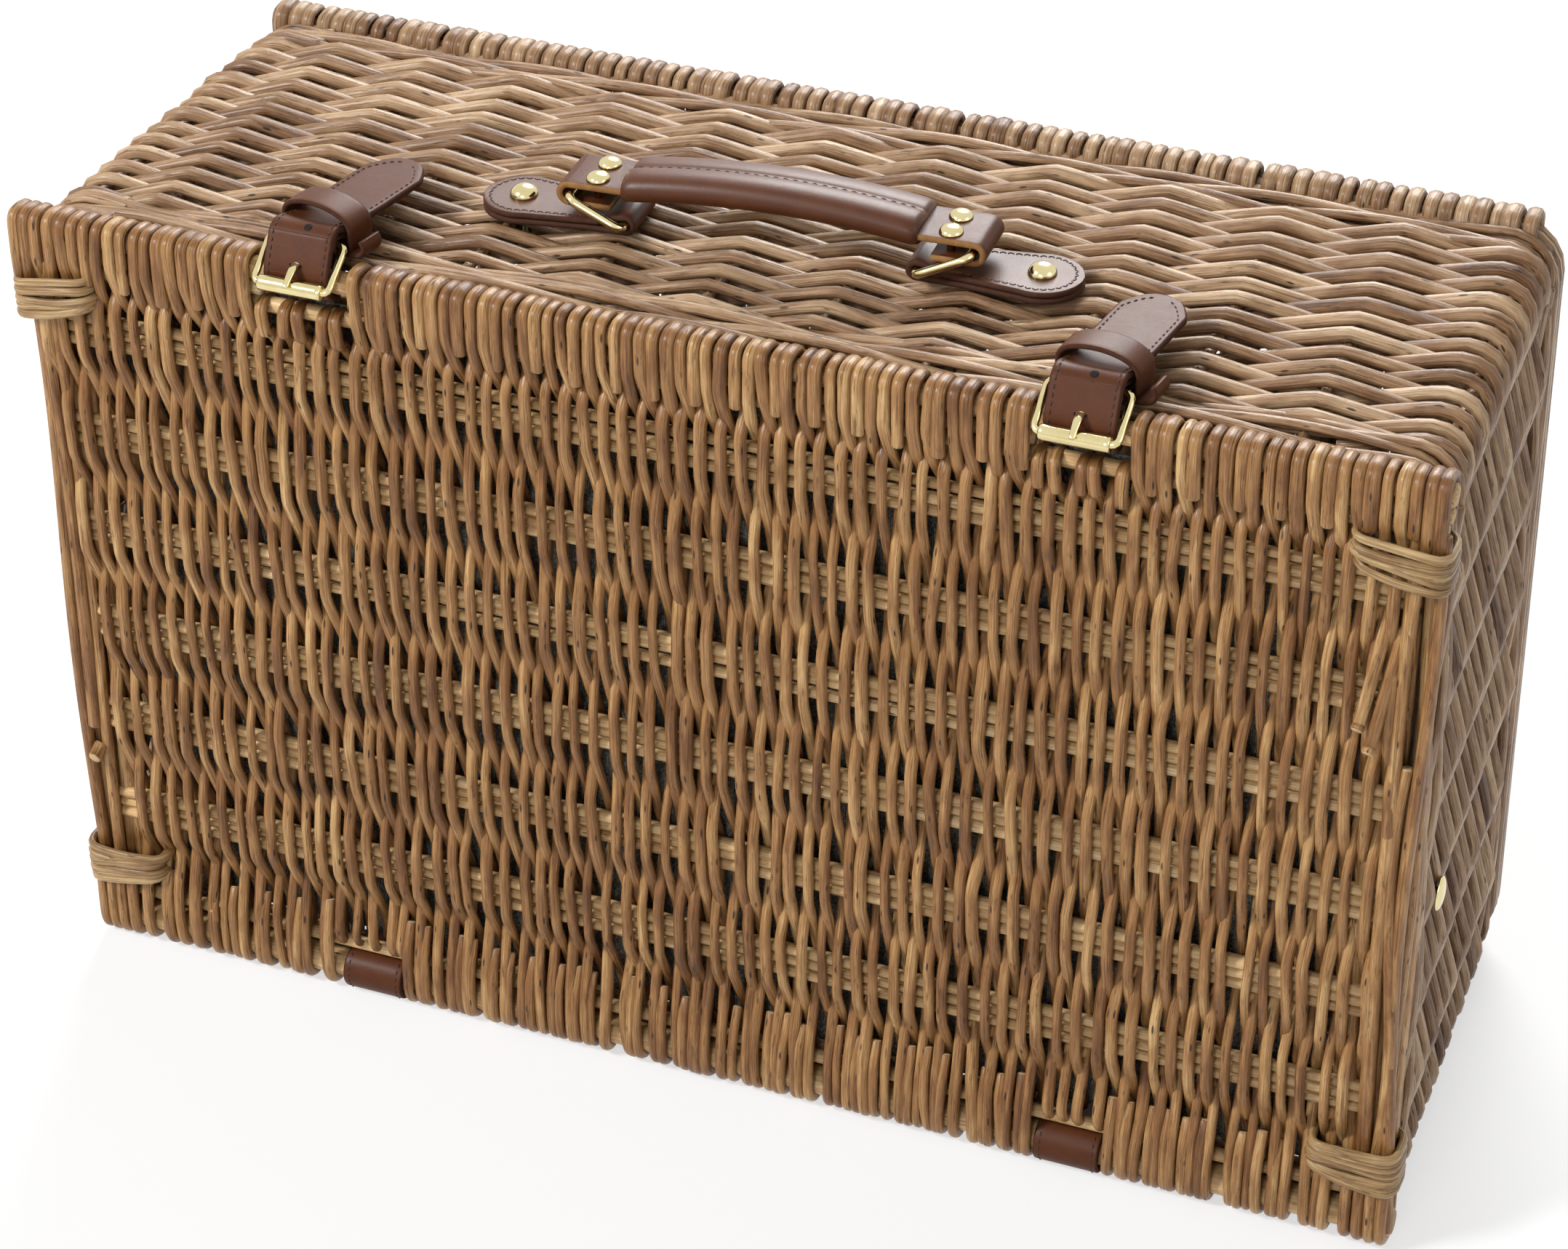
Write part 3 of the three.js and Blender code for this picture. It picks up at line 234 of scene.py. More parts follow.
LID_STOPS = ((0.0, (0.07, 0.0245, 0.0075)), (0.35, (0.21, 0.092, 0.0285)), (0.65, (0.345, 0.18, 0.064)),
             (1.0, (0.58, 0.375, 0.165)))
WALL_STOPS = ((0.0, (0.07, 0.030, 0.0125)), (0.35, (0.225, 0.118, 0.055)), (0.65, (0.38, 0.24, 0.13)),
              (1.0, (0.62, 0.45, 0.28)))
PEELED_STOPS = ((0.0, (0.38, 0.21, 0.082)), (0.5, (0.68, 0.455, 0.215)), (1.0, (0.86, 0.67, 0.405)))
SPLIT_STOPS = ((0.0, (0.09, 0.042, 0.0135)), (0.5, (0.26, 0.146, 0.055)), (1.0, (0.50, 0.345, 0.165)))
WILLOW = willow_finish("willow", LID_STOPS, 0.55, 0.38)
WALL_WILLOW = willow_finish("wall_willow", WALL_STOPS, 0.45, 0.38)
PEELED = willow_finish("peeled", PEELED_STOPS, 0.08, 0.44, 0.1)
BINDING = willow_finish("split_binding", SPLIT_STOPS, 0.05, 0.44, 0.5)
print("willow finishes:", WILLOW.name, WALL_WILLOW.name, PEELED.name, BINDING.name)

# %% [markdown]
# The leather is brown with a fine pebble grain and a waxed shine; its cut edges are darker. A pattern of
# cells, a millimetre or less wide, gives the pebbles, noise gives handling marks, and the mesh carries an
# `edge` value that darkens the cut sides. One function makes all its kinds: the handle's strap has raw,
# paler edges, its grip and tabs are polished, and a punched hole is a disc painted nearly black, a
# painted shadow of the hole's inside; the thread is nearly black too.

# %% Leather and sewing thread
def leather_finish(name, deep, worn, gloss, raw, shine=0.15):
    material, shader, start = new_finish(name, IOR=1.47, Coat_Roughness=0.34, Specular_IOR_Level=shine)
    where = start.node("ShaderNodeTexCoord", {}, {}, "Object")
    edge = start.node("ShaderNodeAttribute", {"attribute_name": "edge"}, {}, "Fac")
    pebble_inputs = {"Vector": where, "Scale": 1150.0}
    pebbles = start.node("ShaderNodeTexVoronoi", {"feature": "SMOOTH_F1"}, pebble_inputs, "Distance")
    marks = where.noise(70.0, 5.0, 0.62)
    creases = where.noise(420.0, 3.0)
    hide = (marks * 0.8 + creases * 0.3 - 0.08).ramp((0.25, deep), (0.8, worn))
    cut_side = creases.ramp((0.3, raw), (0.7, [1.5 * c for c in raw]))
    wire_up(
        shader,
        Base_Color=edge.between(0.3, 0.9).mixed(hide, cut_side),
        Roughness=(gloss + marks * 0.16 + pebbles * 0.08 + edge * 0.3).clamped(),
        Coat_Weight=(shine - edge * shine - marks * 0.1).clamped(),
        Normal=bumped(pebbles * 0.5 + creases * 0.5, 0.00016, 0.4),
    )
    return material


BROWN_HIDE = ((0.056, 0.0145, 0.004), (0.092, 0.028, 0.008))
DARK_EDGE = (0.04, 0.015, 0.008)
LEATHER = leather_finish("leather", *BROWN_HIDE, 0.38, DARK_EDGE)
RAW_EDGED = leather_finish("raw_edged_leather", *BROWN_HIDE, 0.3, (0.2, 0.1, 0.035))
POLISHED = leather_finish("polished_leather", *BROWN_HIDE, 0.36, DARK_EDGE, 0.24)
# painted shadow: near-black colours for the hole discs, standing in for the shade inside a punched hole
SHADOW = ((0.008, 0.004, 0.003), (0.014, 0.007, 0.005))


def thread_finish():
    material, shader, start = new_finish("sewing_thread")
    where = start.node("ShaderNodeTexCoord", {}, {}, "Object")
    twist = where.noise(2600.0, 2.0)
    wire_up(
        shader,
        Base_Color=twist.ramp((0.3, (0.012, 0.004, 0.003)), (0.8, (0.05, 0.017, 0.01))),
        Roughness=0.55 + twist * 0.2,
        Normal=bumped(twist, 0.00012, 0.5),
    )
    return material


THREAD = thread_finish()
# the hole discs' finish is painted shadow: a near-black disc in place of the shade inside the hole
PAINTED_HOLE_SHADOW = leather_finish("painted_hole_shadow", *SHADOW, 0.7, (0.01, 0.005, 0.004))
print("leather finishes:", LEATHER.name, RAW_EDGED.name, POLISHED.name, THREAD.name, PAINTED_HOLE_SHADOW.name)

# %% [markdown]
# Buckles, rings, rivets and studs are plated in a pale, polished brass. Polished metal is mostly what
# it mirrors, so its colour stays plain and the roughness does the work: low, with faint smears. The lid
# is lined with a grey cloth flecked in dark and light, like salt and pepper; a noise at the size of its
# yarns gives the flecks, and two crossed waves give the weave.

# %% Brass and lining cloth
def brass_finish():
    material, shader, start = new_finish("brass", Metallic=1.0)
    where = start.node("ShaderNodeTexCoord", {}, {}, "Object")
    smears = where.noise(160.0, 4.0, 0.6)
    scratches = where.scaled((300.0, 1900.0, 1900.0)).noise(1.0, 2.0)
    wire_up(
        shader,
        Base_Color=smears.between(0.3, 0.7).mixed((0.76, 0.66, 0.36, 1), (0.70, 0.59, 0.30, 1)),
        Roughness=(0.1 + smears * 0.06).clamped(),
        Normal=bumped(scratches, 0.000004, 0.15),
    )
    return material


def lining_finish():
    material, shader, start = new_finish("lining_cloth", Specular_IOR_Level=0.2)
    where = start.node("ShaderNodeTexCoord", {}, {}, "Object")
    flecks = where.scaled((1500.0, 900.0, 900.0)).noise(1.0, 2.0, 0.7)
    warp = where.node("ShaderNodeTexWave", {"bands_direction": "X"}, {"Vector": where, "Scale": 420.0})
    weft = where.node("ShaderNodeTexWave", {"bands_direction": "Z"}, {"Vector": where, "Scale": 420.0})
    yarn = flecks * 0.8 + (warp * weft) * 0.2
    cloth = yarn.ramp((0.32, (0.08, 0.077, 0.068)), (0.5, (0.26, 0.25, 0.22)), (0.66, (0.58, 0.56, 0.5)))
    wire_up(
        shader,
        Base_Color=cloth,
        Roughness=0.8 + yarn * 0.15,
        Normal=bumped(warp * weft, 0.0002, 0.5),
    )
    return material


BRASS = brass_finish()
LINING = lining_finish()
print("other finishes:", BRASS.name, LINING.name)

# %% [markdown]
# Every part of the basket is a skin over rings of points: a rod, a strip of leather or a turned rivet.
# Curve objects with a bevel would also give tubes, but not the values that the finishes read at each
# point, and hundreds of separate objects would be slow. So one function joins rings with faces, and
# another makes a mesh of them, lets it ride on its body and says which solids it stands for.

# %% Making pieces
def unit(vectors):
    vectors = np.asarray(vectors, float)
    return vectors / np.linalg.norm(vectors, axis=-1, keepdims=True)


def ring_faces(rings, size, closed=False, inward=False):
    """Quads between rings of points that follow one another, and a cap at each open end."""
    here = np.arange(rings if closed else rings - 1)[:, None] * size
    there = (here + size) % (rings * size)
    j = np.arange(size)[None]
    k = (j + 1) % size
    first, second = (k, j) if inward else (j, k)
    quads = np.stack([here + first, here + second, there + second, there + first], -1)
    faces = quads.reshape(-1, 4).tolist()
    if not closed:
        start = list(range(size))
        end = list(range((rings - 1) * size, rings * size))
        faces += [start, end[::-1]] if inward else [start[::-1], end]
    return faces


def make_piece(name, points, faces, body, finish, stands_for=(), slot=None, **attributes):
    """A mesh object in the basket's frame, riding on a body, with values at its points."""
    mesh = bpy.data.meshes.new(name)
    mesh.from_pydata(place(points).tolist(), [], faces)
    for key, values in attributes.items():
        values = np.asarray(values, np.float32)
        kind = "FLOAT_VECTOR" if values.ndim == 2 else "FLOAT"
        layer = mesh.attributes.new(key, kind, "POINT")
        layer.data.foreach_set("vector" if values.ndim == 2 else "value", values.ravel())
    mesh.shade_smooth()
    mesh.materials.append(finish)
    piece = bpy.data.objects.new(name, mesh)
    bpy.context.scene.collection.objects.link(piece)
    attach(piece, body)
    if stands_for:
        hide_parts(*stands_for)
    print(f"{name}: {len(mesh.polygons)} faces on {body}")
    return piece


print("pieces can be made from points and faces")

# %% [markdown]
# A rod is a ring swept along its path. The ring needs a steady sideways direction, or the tube would
# twist; it is given with each rod, and the rest follows from the path. Real rods are never alike, so
# each draws its own tone and its own place in the grain. All the rods of one part become one mesh.

# %% Laying rods
BEVEL = 0.22
CUT_FACE = 0.8


class Rods:
    """Rods gathered into one mesh; a cut end is bevelled down to a smaller face."""

    def __init__(self):
        self.points = []
        self.faces = []
        self.grain = []
        self.tone = []
        self.cut = []
        self.used = 0
        self.laid = 0

    def lay(self, path, radius, across, sides=8, flat=1.0, tone=None, closed=False):
        """Sweeps a ring along the path; flat below 1 presses it thin, square to the across direction."""
        path = np.asarray(path, float)
        flat = np.broadcast_to(np.asarray(flat, float), len(path)).copy()
        radius = np.broadcast_to(np.asarray(radius, float), len(path)).copy()
        step = np.roll(path, -1, 0) - np.roll(path, 1, 0) if closed else np.gradient(path, axis=0)
        ahead = unit(step)
        across = np.broadcast_to(np.asarray(across, float), path.shape)
        side = unit(across - (across * ahead).sum(1)[:, None] * ahead)
        cut = np.zeros(len(path))
        if not closed:
            first = path[0] - ahead[0] * radius[0] * BEVEL
            last = path[-1] + ahead[-1] * radius[-1] * BEVEL
            path = np.vstack([first, path, last])
            radius = np.r_[radius[0] * CUT_FACE, radius, radius[-1] * CUT_FACE]
            flat = np.r_[flat[0], flat, flat[-1]]
            ahead = np.vstack([ahead[0], ahead, ahead[-1]])
            side = np.vstack([side[0], side, side[-1]])
            cut = np.r_[1, cut, 1]
        lift = np.cross(ahead, side)
        turn = np.arange(sides) * 2 * math.pi / sides
        thickness = np.sin(turn)[None, :, None] * flat[:, None, None]
        ring = side[:, None] * np.cos(turn)[None, :, None] + lift[:, None] * thickness
        skin = path[:, None] + radius[:, None, None] * ring
        run = np.r_[0, np.cumsum(np.linalg.norm(np.diff(path, axis=0), axis=1))]
        seed = chance.uniform(0, 900)
        along = np.broadcast_to((run + seed)[:, None], (len(path), sides))
        round_x = radius[:, None] * np.cos(turn)[None] + seed * 0.37
        round_y = radius[:, None] * np.sin(turn)[None]
        self.points.append(skin.reshape(-1, 3))
        self.grain.append(np.stack([along, round_x, round_y], -1).reshape(-1, 3))
        value = chance.normal(0.5, 0.24) if tone is None else tone
        self.tone.append(np.full(len(path) * sides, np.clip(value, 0, 1)))
        self.cut.append(np.repeat(cut, sides))
        faces = ring_faces(len(path), sides, closed)
        self.faces += [[self.used + point for point in face] for face in faces]
        self.used += len(path) * sides
        self.laid += 1

    def weave(self, name, body, finish, stands_for=(), slot="willow"):
        print(f"{name}: {self.laid} rods")
        points, grain, tone, cut = map(np.concatenate, (self.points, self.grain, self.tone, self.cut))
        make_piece(
            name, points, self.faces, body, finish, stands_for, slot, grain=grain, tone=tone, cut=cut)


FILLET = 2.4


def bend(corners):
    """A rod pushed through these places: straight runs, with each kink rounded off."""
    corners = np.asarray(corners, float)
    path = [corners[0]]
    for before, corner, after in zip(corners[:-2], corners[1:-1], corners[2:]):
        back, ahead = before - corner, after - corner
        near = corner + back * min(FILLET / np.linalg.norm(back), 0.36)
        far = corner + ahead * min(FILLET / np.linalg.norm(ahead), 0.36)
        path += [corner + 1.3 * (near - corner), near, (near + 2 * corner + far) / 4]
        path += [far, corner + 1.3 * (far - corner)]
    path.append(corners[-1])
    return np.array(path)


def at_x(x, route):
    """A route of places (depth, z) at one distance from the lid's middle."""
    route = np.asarray(route, float)
    return np.stack([np.full(len(route), x), route[:, 0], route[:, 1]], 1)


ACROSS_X = (1.0, 0.0, 0.0)
ACROSS_Y = (0.0, 1.0, 0.0)
UPWARD = np.array((0.0, 0.0, 1.0))
SIDES = (("left", -1), ("right", 1))
print("rod laying ready")

# %% [markdown]
# ## The lid
#
# The lid is woven on six rows of peeled sticks that run across it. In each 14 mm of its width there
# are four upright rods: two pass in front of the top row, two behind it, and they change places at
# every row below. At the top some rods bend over the border's core and come down again in front; one
# in three is only a short wrap with a cut end. At the bottom the rods that arrive in front go under
# the hinge rod, and some of the others come up from behind as short stubs, tucked in at their ends.
# The base is woven the same way, so the function below works in depth from the panel's face and
# serves both. Where a strap or a hinge sits, the panel has a notch: the rods stop short of the edge.

# %% A rod's way through a panel
ROW_Z = [61 + 40.6 * i for i in range(6)]
IN_FRONT = 3.1
BEHIND = 11.4
PITCH = 14.0
NOTCH_DEPTH = 17.6
TOP_ROD = (8.0, LID_TOP - 8)
HINGE_ROD = (8.0, 8.7)
WRAP_RADIUS = 6.8
RODS_REACH = 236.0
STRAP_X = {"left": -141.0, "right": 132.0}
HINGE_X = {"left": -135.0, "right": 135.0}


def arc(centre, radius, start, end, steps):
    """Points (depth, z) on an arc, with its angles in degrees from the panel's back."""
    angles = np.radians(np.linspace(start, end, steps))
    return [(centre[0] + radius * math.cos(a), centre[1] + radius * math.sin(a)) for a in angles]


def over_border(top, back=14.0, tail=21.0):
    """Places (depth, z) of a rod that comes up behind the border and bends over it to the front."""
    rising = [(back, top - tail), (back, top - 5.5), (back - 1.8, top - 2.3)]
    return rising + [(4.9, top - 1.7), (2.4, top - 3.9)]


def through_rows(starts_in_front, x):
    """Places (depth, z, sideways) from the highest row of sticks down; the rods lean to the middle."""
    route = []
    drift = 0.0
    lean = 0.5 - x / 124.0
    swing = 0.9 * np.clip((50 - x) / 250, 0, 1)
    for i, z in enumerate(reversed(ROW_Z)):
        in_front = (i % 2 == 0) == starts_in_front
        if i > 0:
            drift += (lean - swing if in_front else lean + swing) + chance.normal(0, 0.3)
        depth = (IN_FRONT if in_front else BEHIND) + chance.normal(0, 0.25)
        above, below = (11.5, 8.0) if in_front else (4.5, 4.5)
        level = z + chance.normal(0, 0.8)
        route.append((depth, level + above, drift + chance.normal(0, 0.25)))
        route.append((depth, level - below, drift))
    return route


def wavering(path, amount):
    """A rod is never quite straight: it wanders a little from side to side."""
    z = path[:, 2]
    for wavelength in (150, 62):
        path[:, 0] += amount * chance.normal() * np.sin(z / wavelength * 6.28 + chance.uniform(0, 6.28))
    return path


print("rows of sticks at", [round(z, 1) for z in ROW_Z])

# %% [markdown]
# Now the pattern. It repeats across the panel, and each repeat holds five rods: a short wrap, two long
# ones that start behind the sticks and two inner ones that start in front. A particle system or an array
# could repeat one rod, but then all would be alike; a loop draws each one's place, thickness and waver.

# %% The weave of a panel
PERIOD = (("short", 0.4, 0.4), ("long", 5.1, 5.2), ("long", 9.8, 12.6),
          ("inner", 1.8, 1.8), ("inner", 8.8, 8.8))


def weave_panel(rods, periods, first_x, top, depth_to_y, notches, sides, pitch=PITCH, leaning=1.0):
    """Lays all upright rods of a panel; notches are (x, half width, which end)."""
    edges = (first_x - 6, first_x + pitch * periods + 3)
    stretch = pitch / PITCH
    pressed = 0.2 if stretch == 1 else 0.36

    def notched(x, end):
        return any(abs(x - at) < half for at, half, where in notches if where == end)

    def finish_rod(corners, thick, thin, waver):
        path = bend(corners)
        if waver:
            path = wavering(path, waver)
        wrapped = np.interp(path[:, 2], (top - 38, top - 24), (0.0, 1.0))
        radius = np.linspace(thick, thin, len(path)) * (1 + 0.1 * wrapped)
        radius *= 1 + 0.05 * np.sin(path[:, 2] / chance.uniform(7, 16) + chance.uniform(0, 6))
        path[:, 1] = depth_to_y(path[:, 1])
        rods.lay(path, radius, ACROSS_X, sides, 0.92 - pressed * wrapped)

    for k in range(-1, periods + 1):
        x0 = first_x + pitch * k
        for kind, x_top, x_low in PERIOD:
            x_top, x_low = stretch * x_top, stretch * x_low
            if not edges[0] < x0 + x_low < edges[1]:
                continue
            shift = chance.normal(0, 0.3)
            x_top, x_low = x0 + x_top + shift, x0 + x_low + shift
            in_notch = notched(x_top, "top")
            peak = top - NOTCH_DEPTH if in_notch else top
            thick = stretch * float(np.clip(chance.normal(2.1, 0.17), 1.75, 2.5))
            if kind == "short" and in_notch:
                continue
            if kind == "short":
                end = peak - 24 + chance.normal(0, 1.3)
                route = over_border(peak) + [(2.0, end + 8), (2.3, end)]
                finish_rod(at_x(x_top, route), thick, thick, 0.0)
                continue
            if kind == "long":
                turn = min(peak - 12, top - 18) + chance.normal(0, 1)
                fold = over_border(peak, 12.2, 8.5) if in_notch else over_border(peak)
                route = fold + [(2.0, turn), (4.6, top - 29), (9.6, top - 37)]
                rows = through_rows(False, x_low * leaning)
            else:
                route = [(11.0, min(peak - 16, top - 18)), (9.0, top - 26)]
                rows = through_rows(True, x_low * leaning)
            drift = np.clip(rows[-1][2], -RODS_REACH - x_low, RODS_REACH - x_low)
            above = len(route)
            route += [row[:2] for row in rows]
            low = notched(x_low + drift, "bottom")
            if kind == "inner":
                route += [(2.6, 27)]
                if low:
                    route += [(4.5, 22), (9.0, 19.5)]
                else:
                    route += [(1.3, 17)] + arc(HINGE_ROD, WRAP_RADIUS, 180, 360, 7) + [(14.8, 20)]
            else:
                route += [(13.6, 30)]
                stub = (x_low - x0 < pitch / 2) or chance.uniform() < 0.5
                if low or not stub:
                    route += [(13.9, 21)]
                else:
                    route += [(14.6, 20)] + arc(HINGE_ROD, WRAP_RADIUS, 360, 180, 7)
                    route += [(1.3, 18), (2.2, 26), (6.2, 35 + chance.normal(0, 1.5))]
            slide = np.interp([z for _, z in route], (top - 36, top - 19), (x_low, x_top))
            slide[above:above + len(rows)] += [row[2] for row in rows]
            slide[above + len(rows):] += drift
            corners = [(x, d, z) for x, (d, z) in zip(slide, route)]
            finish_rod(corners, thick, thick * 0.94, 0.35)


print("rods in a repeat:", [kind for kind, _, _ in PERIOD])

# %% [markdown]
# The lid has 34 repeats of the pattern between its side bundles, with notches for the straps and the
# hinges. That leaves its corners bare, where the real lid has a few single wraps over the top rod and
# turns round the hinge rod, so these are laid one by one.

# %% The lid's rods
lid_rods = Rods()
lid_notches = [(x, 16.4, "top") for x in STRAP_X.values()]
lid_notches += [(x, 13.6, "bottom") for x in HINGE_X.values()]
weave_panel(lid_rods, 34, -236.7, LID_TOP, lambda d: d, lid_notches, 10)
end_wrap = over_border(LID_TOP) + [(2.0, 292), (2.4, 283)]
for x in (-249.2, -245.3, 243.6, 247.4):
    lid_rods.lay(bend(at_x(x, end_wrap)), 2.3, ACROSS_X, 10, 0.72)
end_turn = [(2.4, 38), (1.3, 17)] + arc(HINGE_ROD, WRAP_RADIUS, 180, 360, 7) + [(14.8, 26)]
for x in (-248.0, -244.0, -239.8, -235.2, 235.0, 239.6, 243.8, 247.6):
    lid_rods.lay(bend(at_x(x, end_turn)), chance.normal(2.15, 0.1), ACROSS_X, 10)
lid_rods.weave("lid_weave", "lid", WILLOW, ("lid_panel", "lid_top_border", "lid_bottom_border"))

# %% [markdown]
# The sticks are peeled willow, pale and straight, three to a row. Round rods would do, but real ones
# vary in thickness and their ends show at the lid's sides, so each stick gets its own taper and a slight
# bow. The border's core at the top is a rod and two sticks below it; the hinge rod and one more stick
# are at the bottom.

# %% The lid's sticks and core rods
def straight(x0, x1, y, z, bow=0.6, points=22):
    t = np.linspace(0, 1, points)
    lift = chance.normal(0, bow) * np.sin(math.pi * t)
    return np.stack([x0 + (x1 - x0) * t, np.full(points, y), z + lift], 1)


STICK_GAP = 4.5
lid_sticks = Rods()
for row in ROW_Z:
    for offset in (-STICK_GAP, 0.0, STICK_GAP):
        reach = 238 + chance.uniform(0, 3)
        taper = np.linspace(2.4, 2.0, 22) * chance.normal(1, 0.06) * chance.choice((-1, 1))
        path = straight(-reach, reach, 7.3, row + offset, 0.4)
        lid_sticks.lay(path if taper[0] > 0 else path[::-1], np.abs(taper), ACROSS_Y, 10)
lid_sticks.weave("lid_sticks", "lid", PEELED, [f"lid_sticks_{i}" for i in range(1, 7)], "willow_pale")

lid_core = Rods()
lid_core.lay(straight(-249.6, 249.6, *TOP_ROD, 0.0), 4.0, ACROSS_Y, 14)
left_gap, right_gap = [(x - 16.8, x + 16.8) for x in STRAP_X.values()]
for x0, x1 in ((-247.5, left_gap[0]), (left_gap[1], right_gap[0]), (right_gap[1], 249.3)):
    lid_core.lay(straight(x0, x1, 8, LID_TOP - 15.4, 0.2), 2.9, ACROSS_Y, 12)
lid_core.lay(straight(-248.5, 248, 8, LID_TOP - 21.4, 0.2), 2.9, ACROSS_Y, 12)
lid_core.lay(straight(-249.6, 249.6, *HINGE_ROD, 0.0), 5.3, ACROSS_Y, 14)
lid_core.lay(straight(-246, 247, 7.4, 20.4, 0.3), 2.5, ACROSS_Y, 10)
lid_core.weave("lid_core_rods", "lid", PEELED, ("lid_top_rod", "lid_hinge_rod"), "willow_pale")

# %% [markdown]
# At each side the lid is closed by a bundle of long rods that bow in a little between the corners; a few
# of them stop half way with a slanting cut. Split willow, pale and ribbon-like, binds the bundle at each
# corner. The turns of a binding fan out at the lid's edge and crowd together where they go between the
# rods, so each turn is its own flat loop with its own slant.

# %% The lid's side bundles
BUNDLE_LAYERS = ((3, 4.2), (4, 8.6), (4, 12.6))


def side_bundle(side):
    """Three layers of long rods at one side (-1 or 1), and the cut ends that stand out of it."""
    rods = Rods()
    for layer, (count, y) in enumerate(BUNDLE_LAYERS):
        for i in range(count):
            x = HALF_W - 2.6 - 3.7 * i - (1.7 if layer == 1 else 0)
            z0, z1 = 5 + chance.uniform(0, 9), 291 - chance.uniform(0, 5)
            if layer == 0 and i == 1:
                z0 = 96 if side < 0 else 26
                z1 = z1 if side < 0 else 200
            t = np.linspace(0, 1, 60)
            bow = (1.0 + 0.7 * i + chance.normal(0, 0.6)) * np.sin(math.pi * t)
            drift = chance.normal(0, 1.7) * np.sin(2 * math.pi * t + chance.uniform(0, 6))
            path = np.stack([side * (x - bow + drift), np.full(60, y), z0 + (z1 - z0) * t], 1)
            path[:, 1] += chance.normal(0, 0.5) * np.sin(5 * t + i)
            radius = np.linspace(2.5, 2.0, 60) * chance.normal(1, 0.08)
            rods.lay(path, radius, ACROSS_X, 9, 1.0, chance.normal(0.66, 0.2))
    if side < 0:
        rods.lay([(-241.5, 3.0, 88), (-242.5, 0.2, 84.5), (-242.6, -0.7, 84.2)], 2.6, ACROSS_X, 12)
    else:
        for x, z in ((227.5, 217.0), (231.5, 209.0)):
            cut_end = [(x + 6, 6.0, z + 42), (x + 3.6, 3.0, z + 24), (x, -0.6, z)]
            rods.lay(bend(cut_end), 2.15, ACROSS_X, 10, 1.0, 0.8)
            rods.lay([(x, -1.2, z - 0.5), (x - 0.2, -2.2, z - 1.4)], 2.25, ACROSS_X, 12)
    return rods


print("rods in a side bundle:", sum(count for count, _ in BUNDLE_LAYERS))

# %% [markdown]
# A turn of the binding is a closed loop, as are the basket's hoop and the brass wires further down. Two
# helpers draw them: one rounds a rectangle's corners, the other spreads the points evenly, so that the
# swept ring keeps its shape.

# %% The corners' bindings
def rounded_loop(u0, u1, v0, v1, corner, steps=5):
    """Corners of a closed rounded rectangle, anticlockwise."""
    points = []
    for cu, cv, start in ((u1 - corner, v1 - corner, 0), (u0 + corner, v1 - corner, 90),
                          (u0 + corner, v0 + corner, 180), (u1 - corner, v0 + corner, 270)):
        for a in np.radians(np.linspace(start, start + 90, steps)):
            points.append((cu + corner * math.cos(a), cv + corner * math.sin(a)))
    return np.array(points)


def even_loop(points, step):
    """The same closed line with its points spread evenly."""
    closed = np.vstack([points, points[:1]])
    run = np.r_[0, np.cumsum(np.linalg.norm(np.diff(closed, axis=0), axis=1))]
    at = np.linspace(0, run[-1], int(run[-1] / step), endpoint=False)
    return np.stack([np.interp(at, run, closed[:, k]) for k in range(closed.shape[1])], 1)


BINDING_TURNS = 5
BINDING_X = (-251.0, -221.0)
BINDING_Z = {"top": ((268.5, 283.0), (274.5, 286.5)), "bottom": ((26.0, 44.0), (30.0, 45.0))}


def binding(side, outer, inner):
    """Turns of split willow; outer and inner are their (low, high) at the lid's edge and inside it."""
    rods = Rods()
    edge_x = BINDING_X[0]
    for i in range(BINDING_TURNS):
        share = (i + 0.5) / BINDING_TURNS
        inner_x = BINDING_X[1] + chance.normal(0, 1.0)
        loop = even_loop(rounded_loop(edge_x, inner_x, -0.6, 16.0, 4.5), 2.2)
        reach = (loop[:, 0] - edge_x) / (inner_x - edge_x)
        z_edge = outer[0] + (outer[1] - outer[0]) * share
        z_inside = inner[0] + (inner[1] - inner[0]) * (share + chance.normal(0, 0.09))
        z = z_edge + (z_inside - z_edge) * reach + chance.normal(0, 0.7) * np.sin(math.pi * reach)
        bulge = np.where(loop[:, 1] < 8, -1.0, 0.0) * np.sin(math.pi * np.clip(reach, 0, 1))
        path = np.stack([side * -loop[:, 0], loop[:, 1] + bulge, z], 1)
        wide = 0.62 * (outer[1] - outer[0]) / BINDING_TURNS * (1 - 0.12 * reach)
        wide *= chance.normal(1, 0.07)
        rods.lay(path, wide, UPWARD, 10, 0.72, chance.normal(0.5, 0.2), True)
    return rods


for name, side in SIDES:
    side_bundle(side).weave(f"lid_side_bundle_{name}", "lid", WILLOW, [f"lid_side_rods_{name}"])
    for end, (outer, inner) in BINDING_Z.items():
        bound = binding(side, outer, inner)
        node = f"lid_binding_{end}_{name}"
        bound.weave(f"corner_binding_{end}_{name}", "lid", BINDING, [node], "binding")
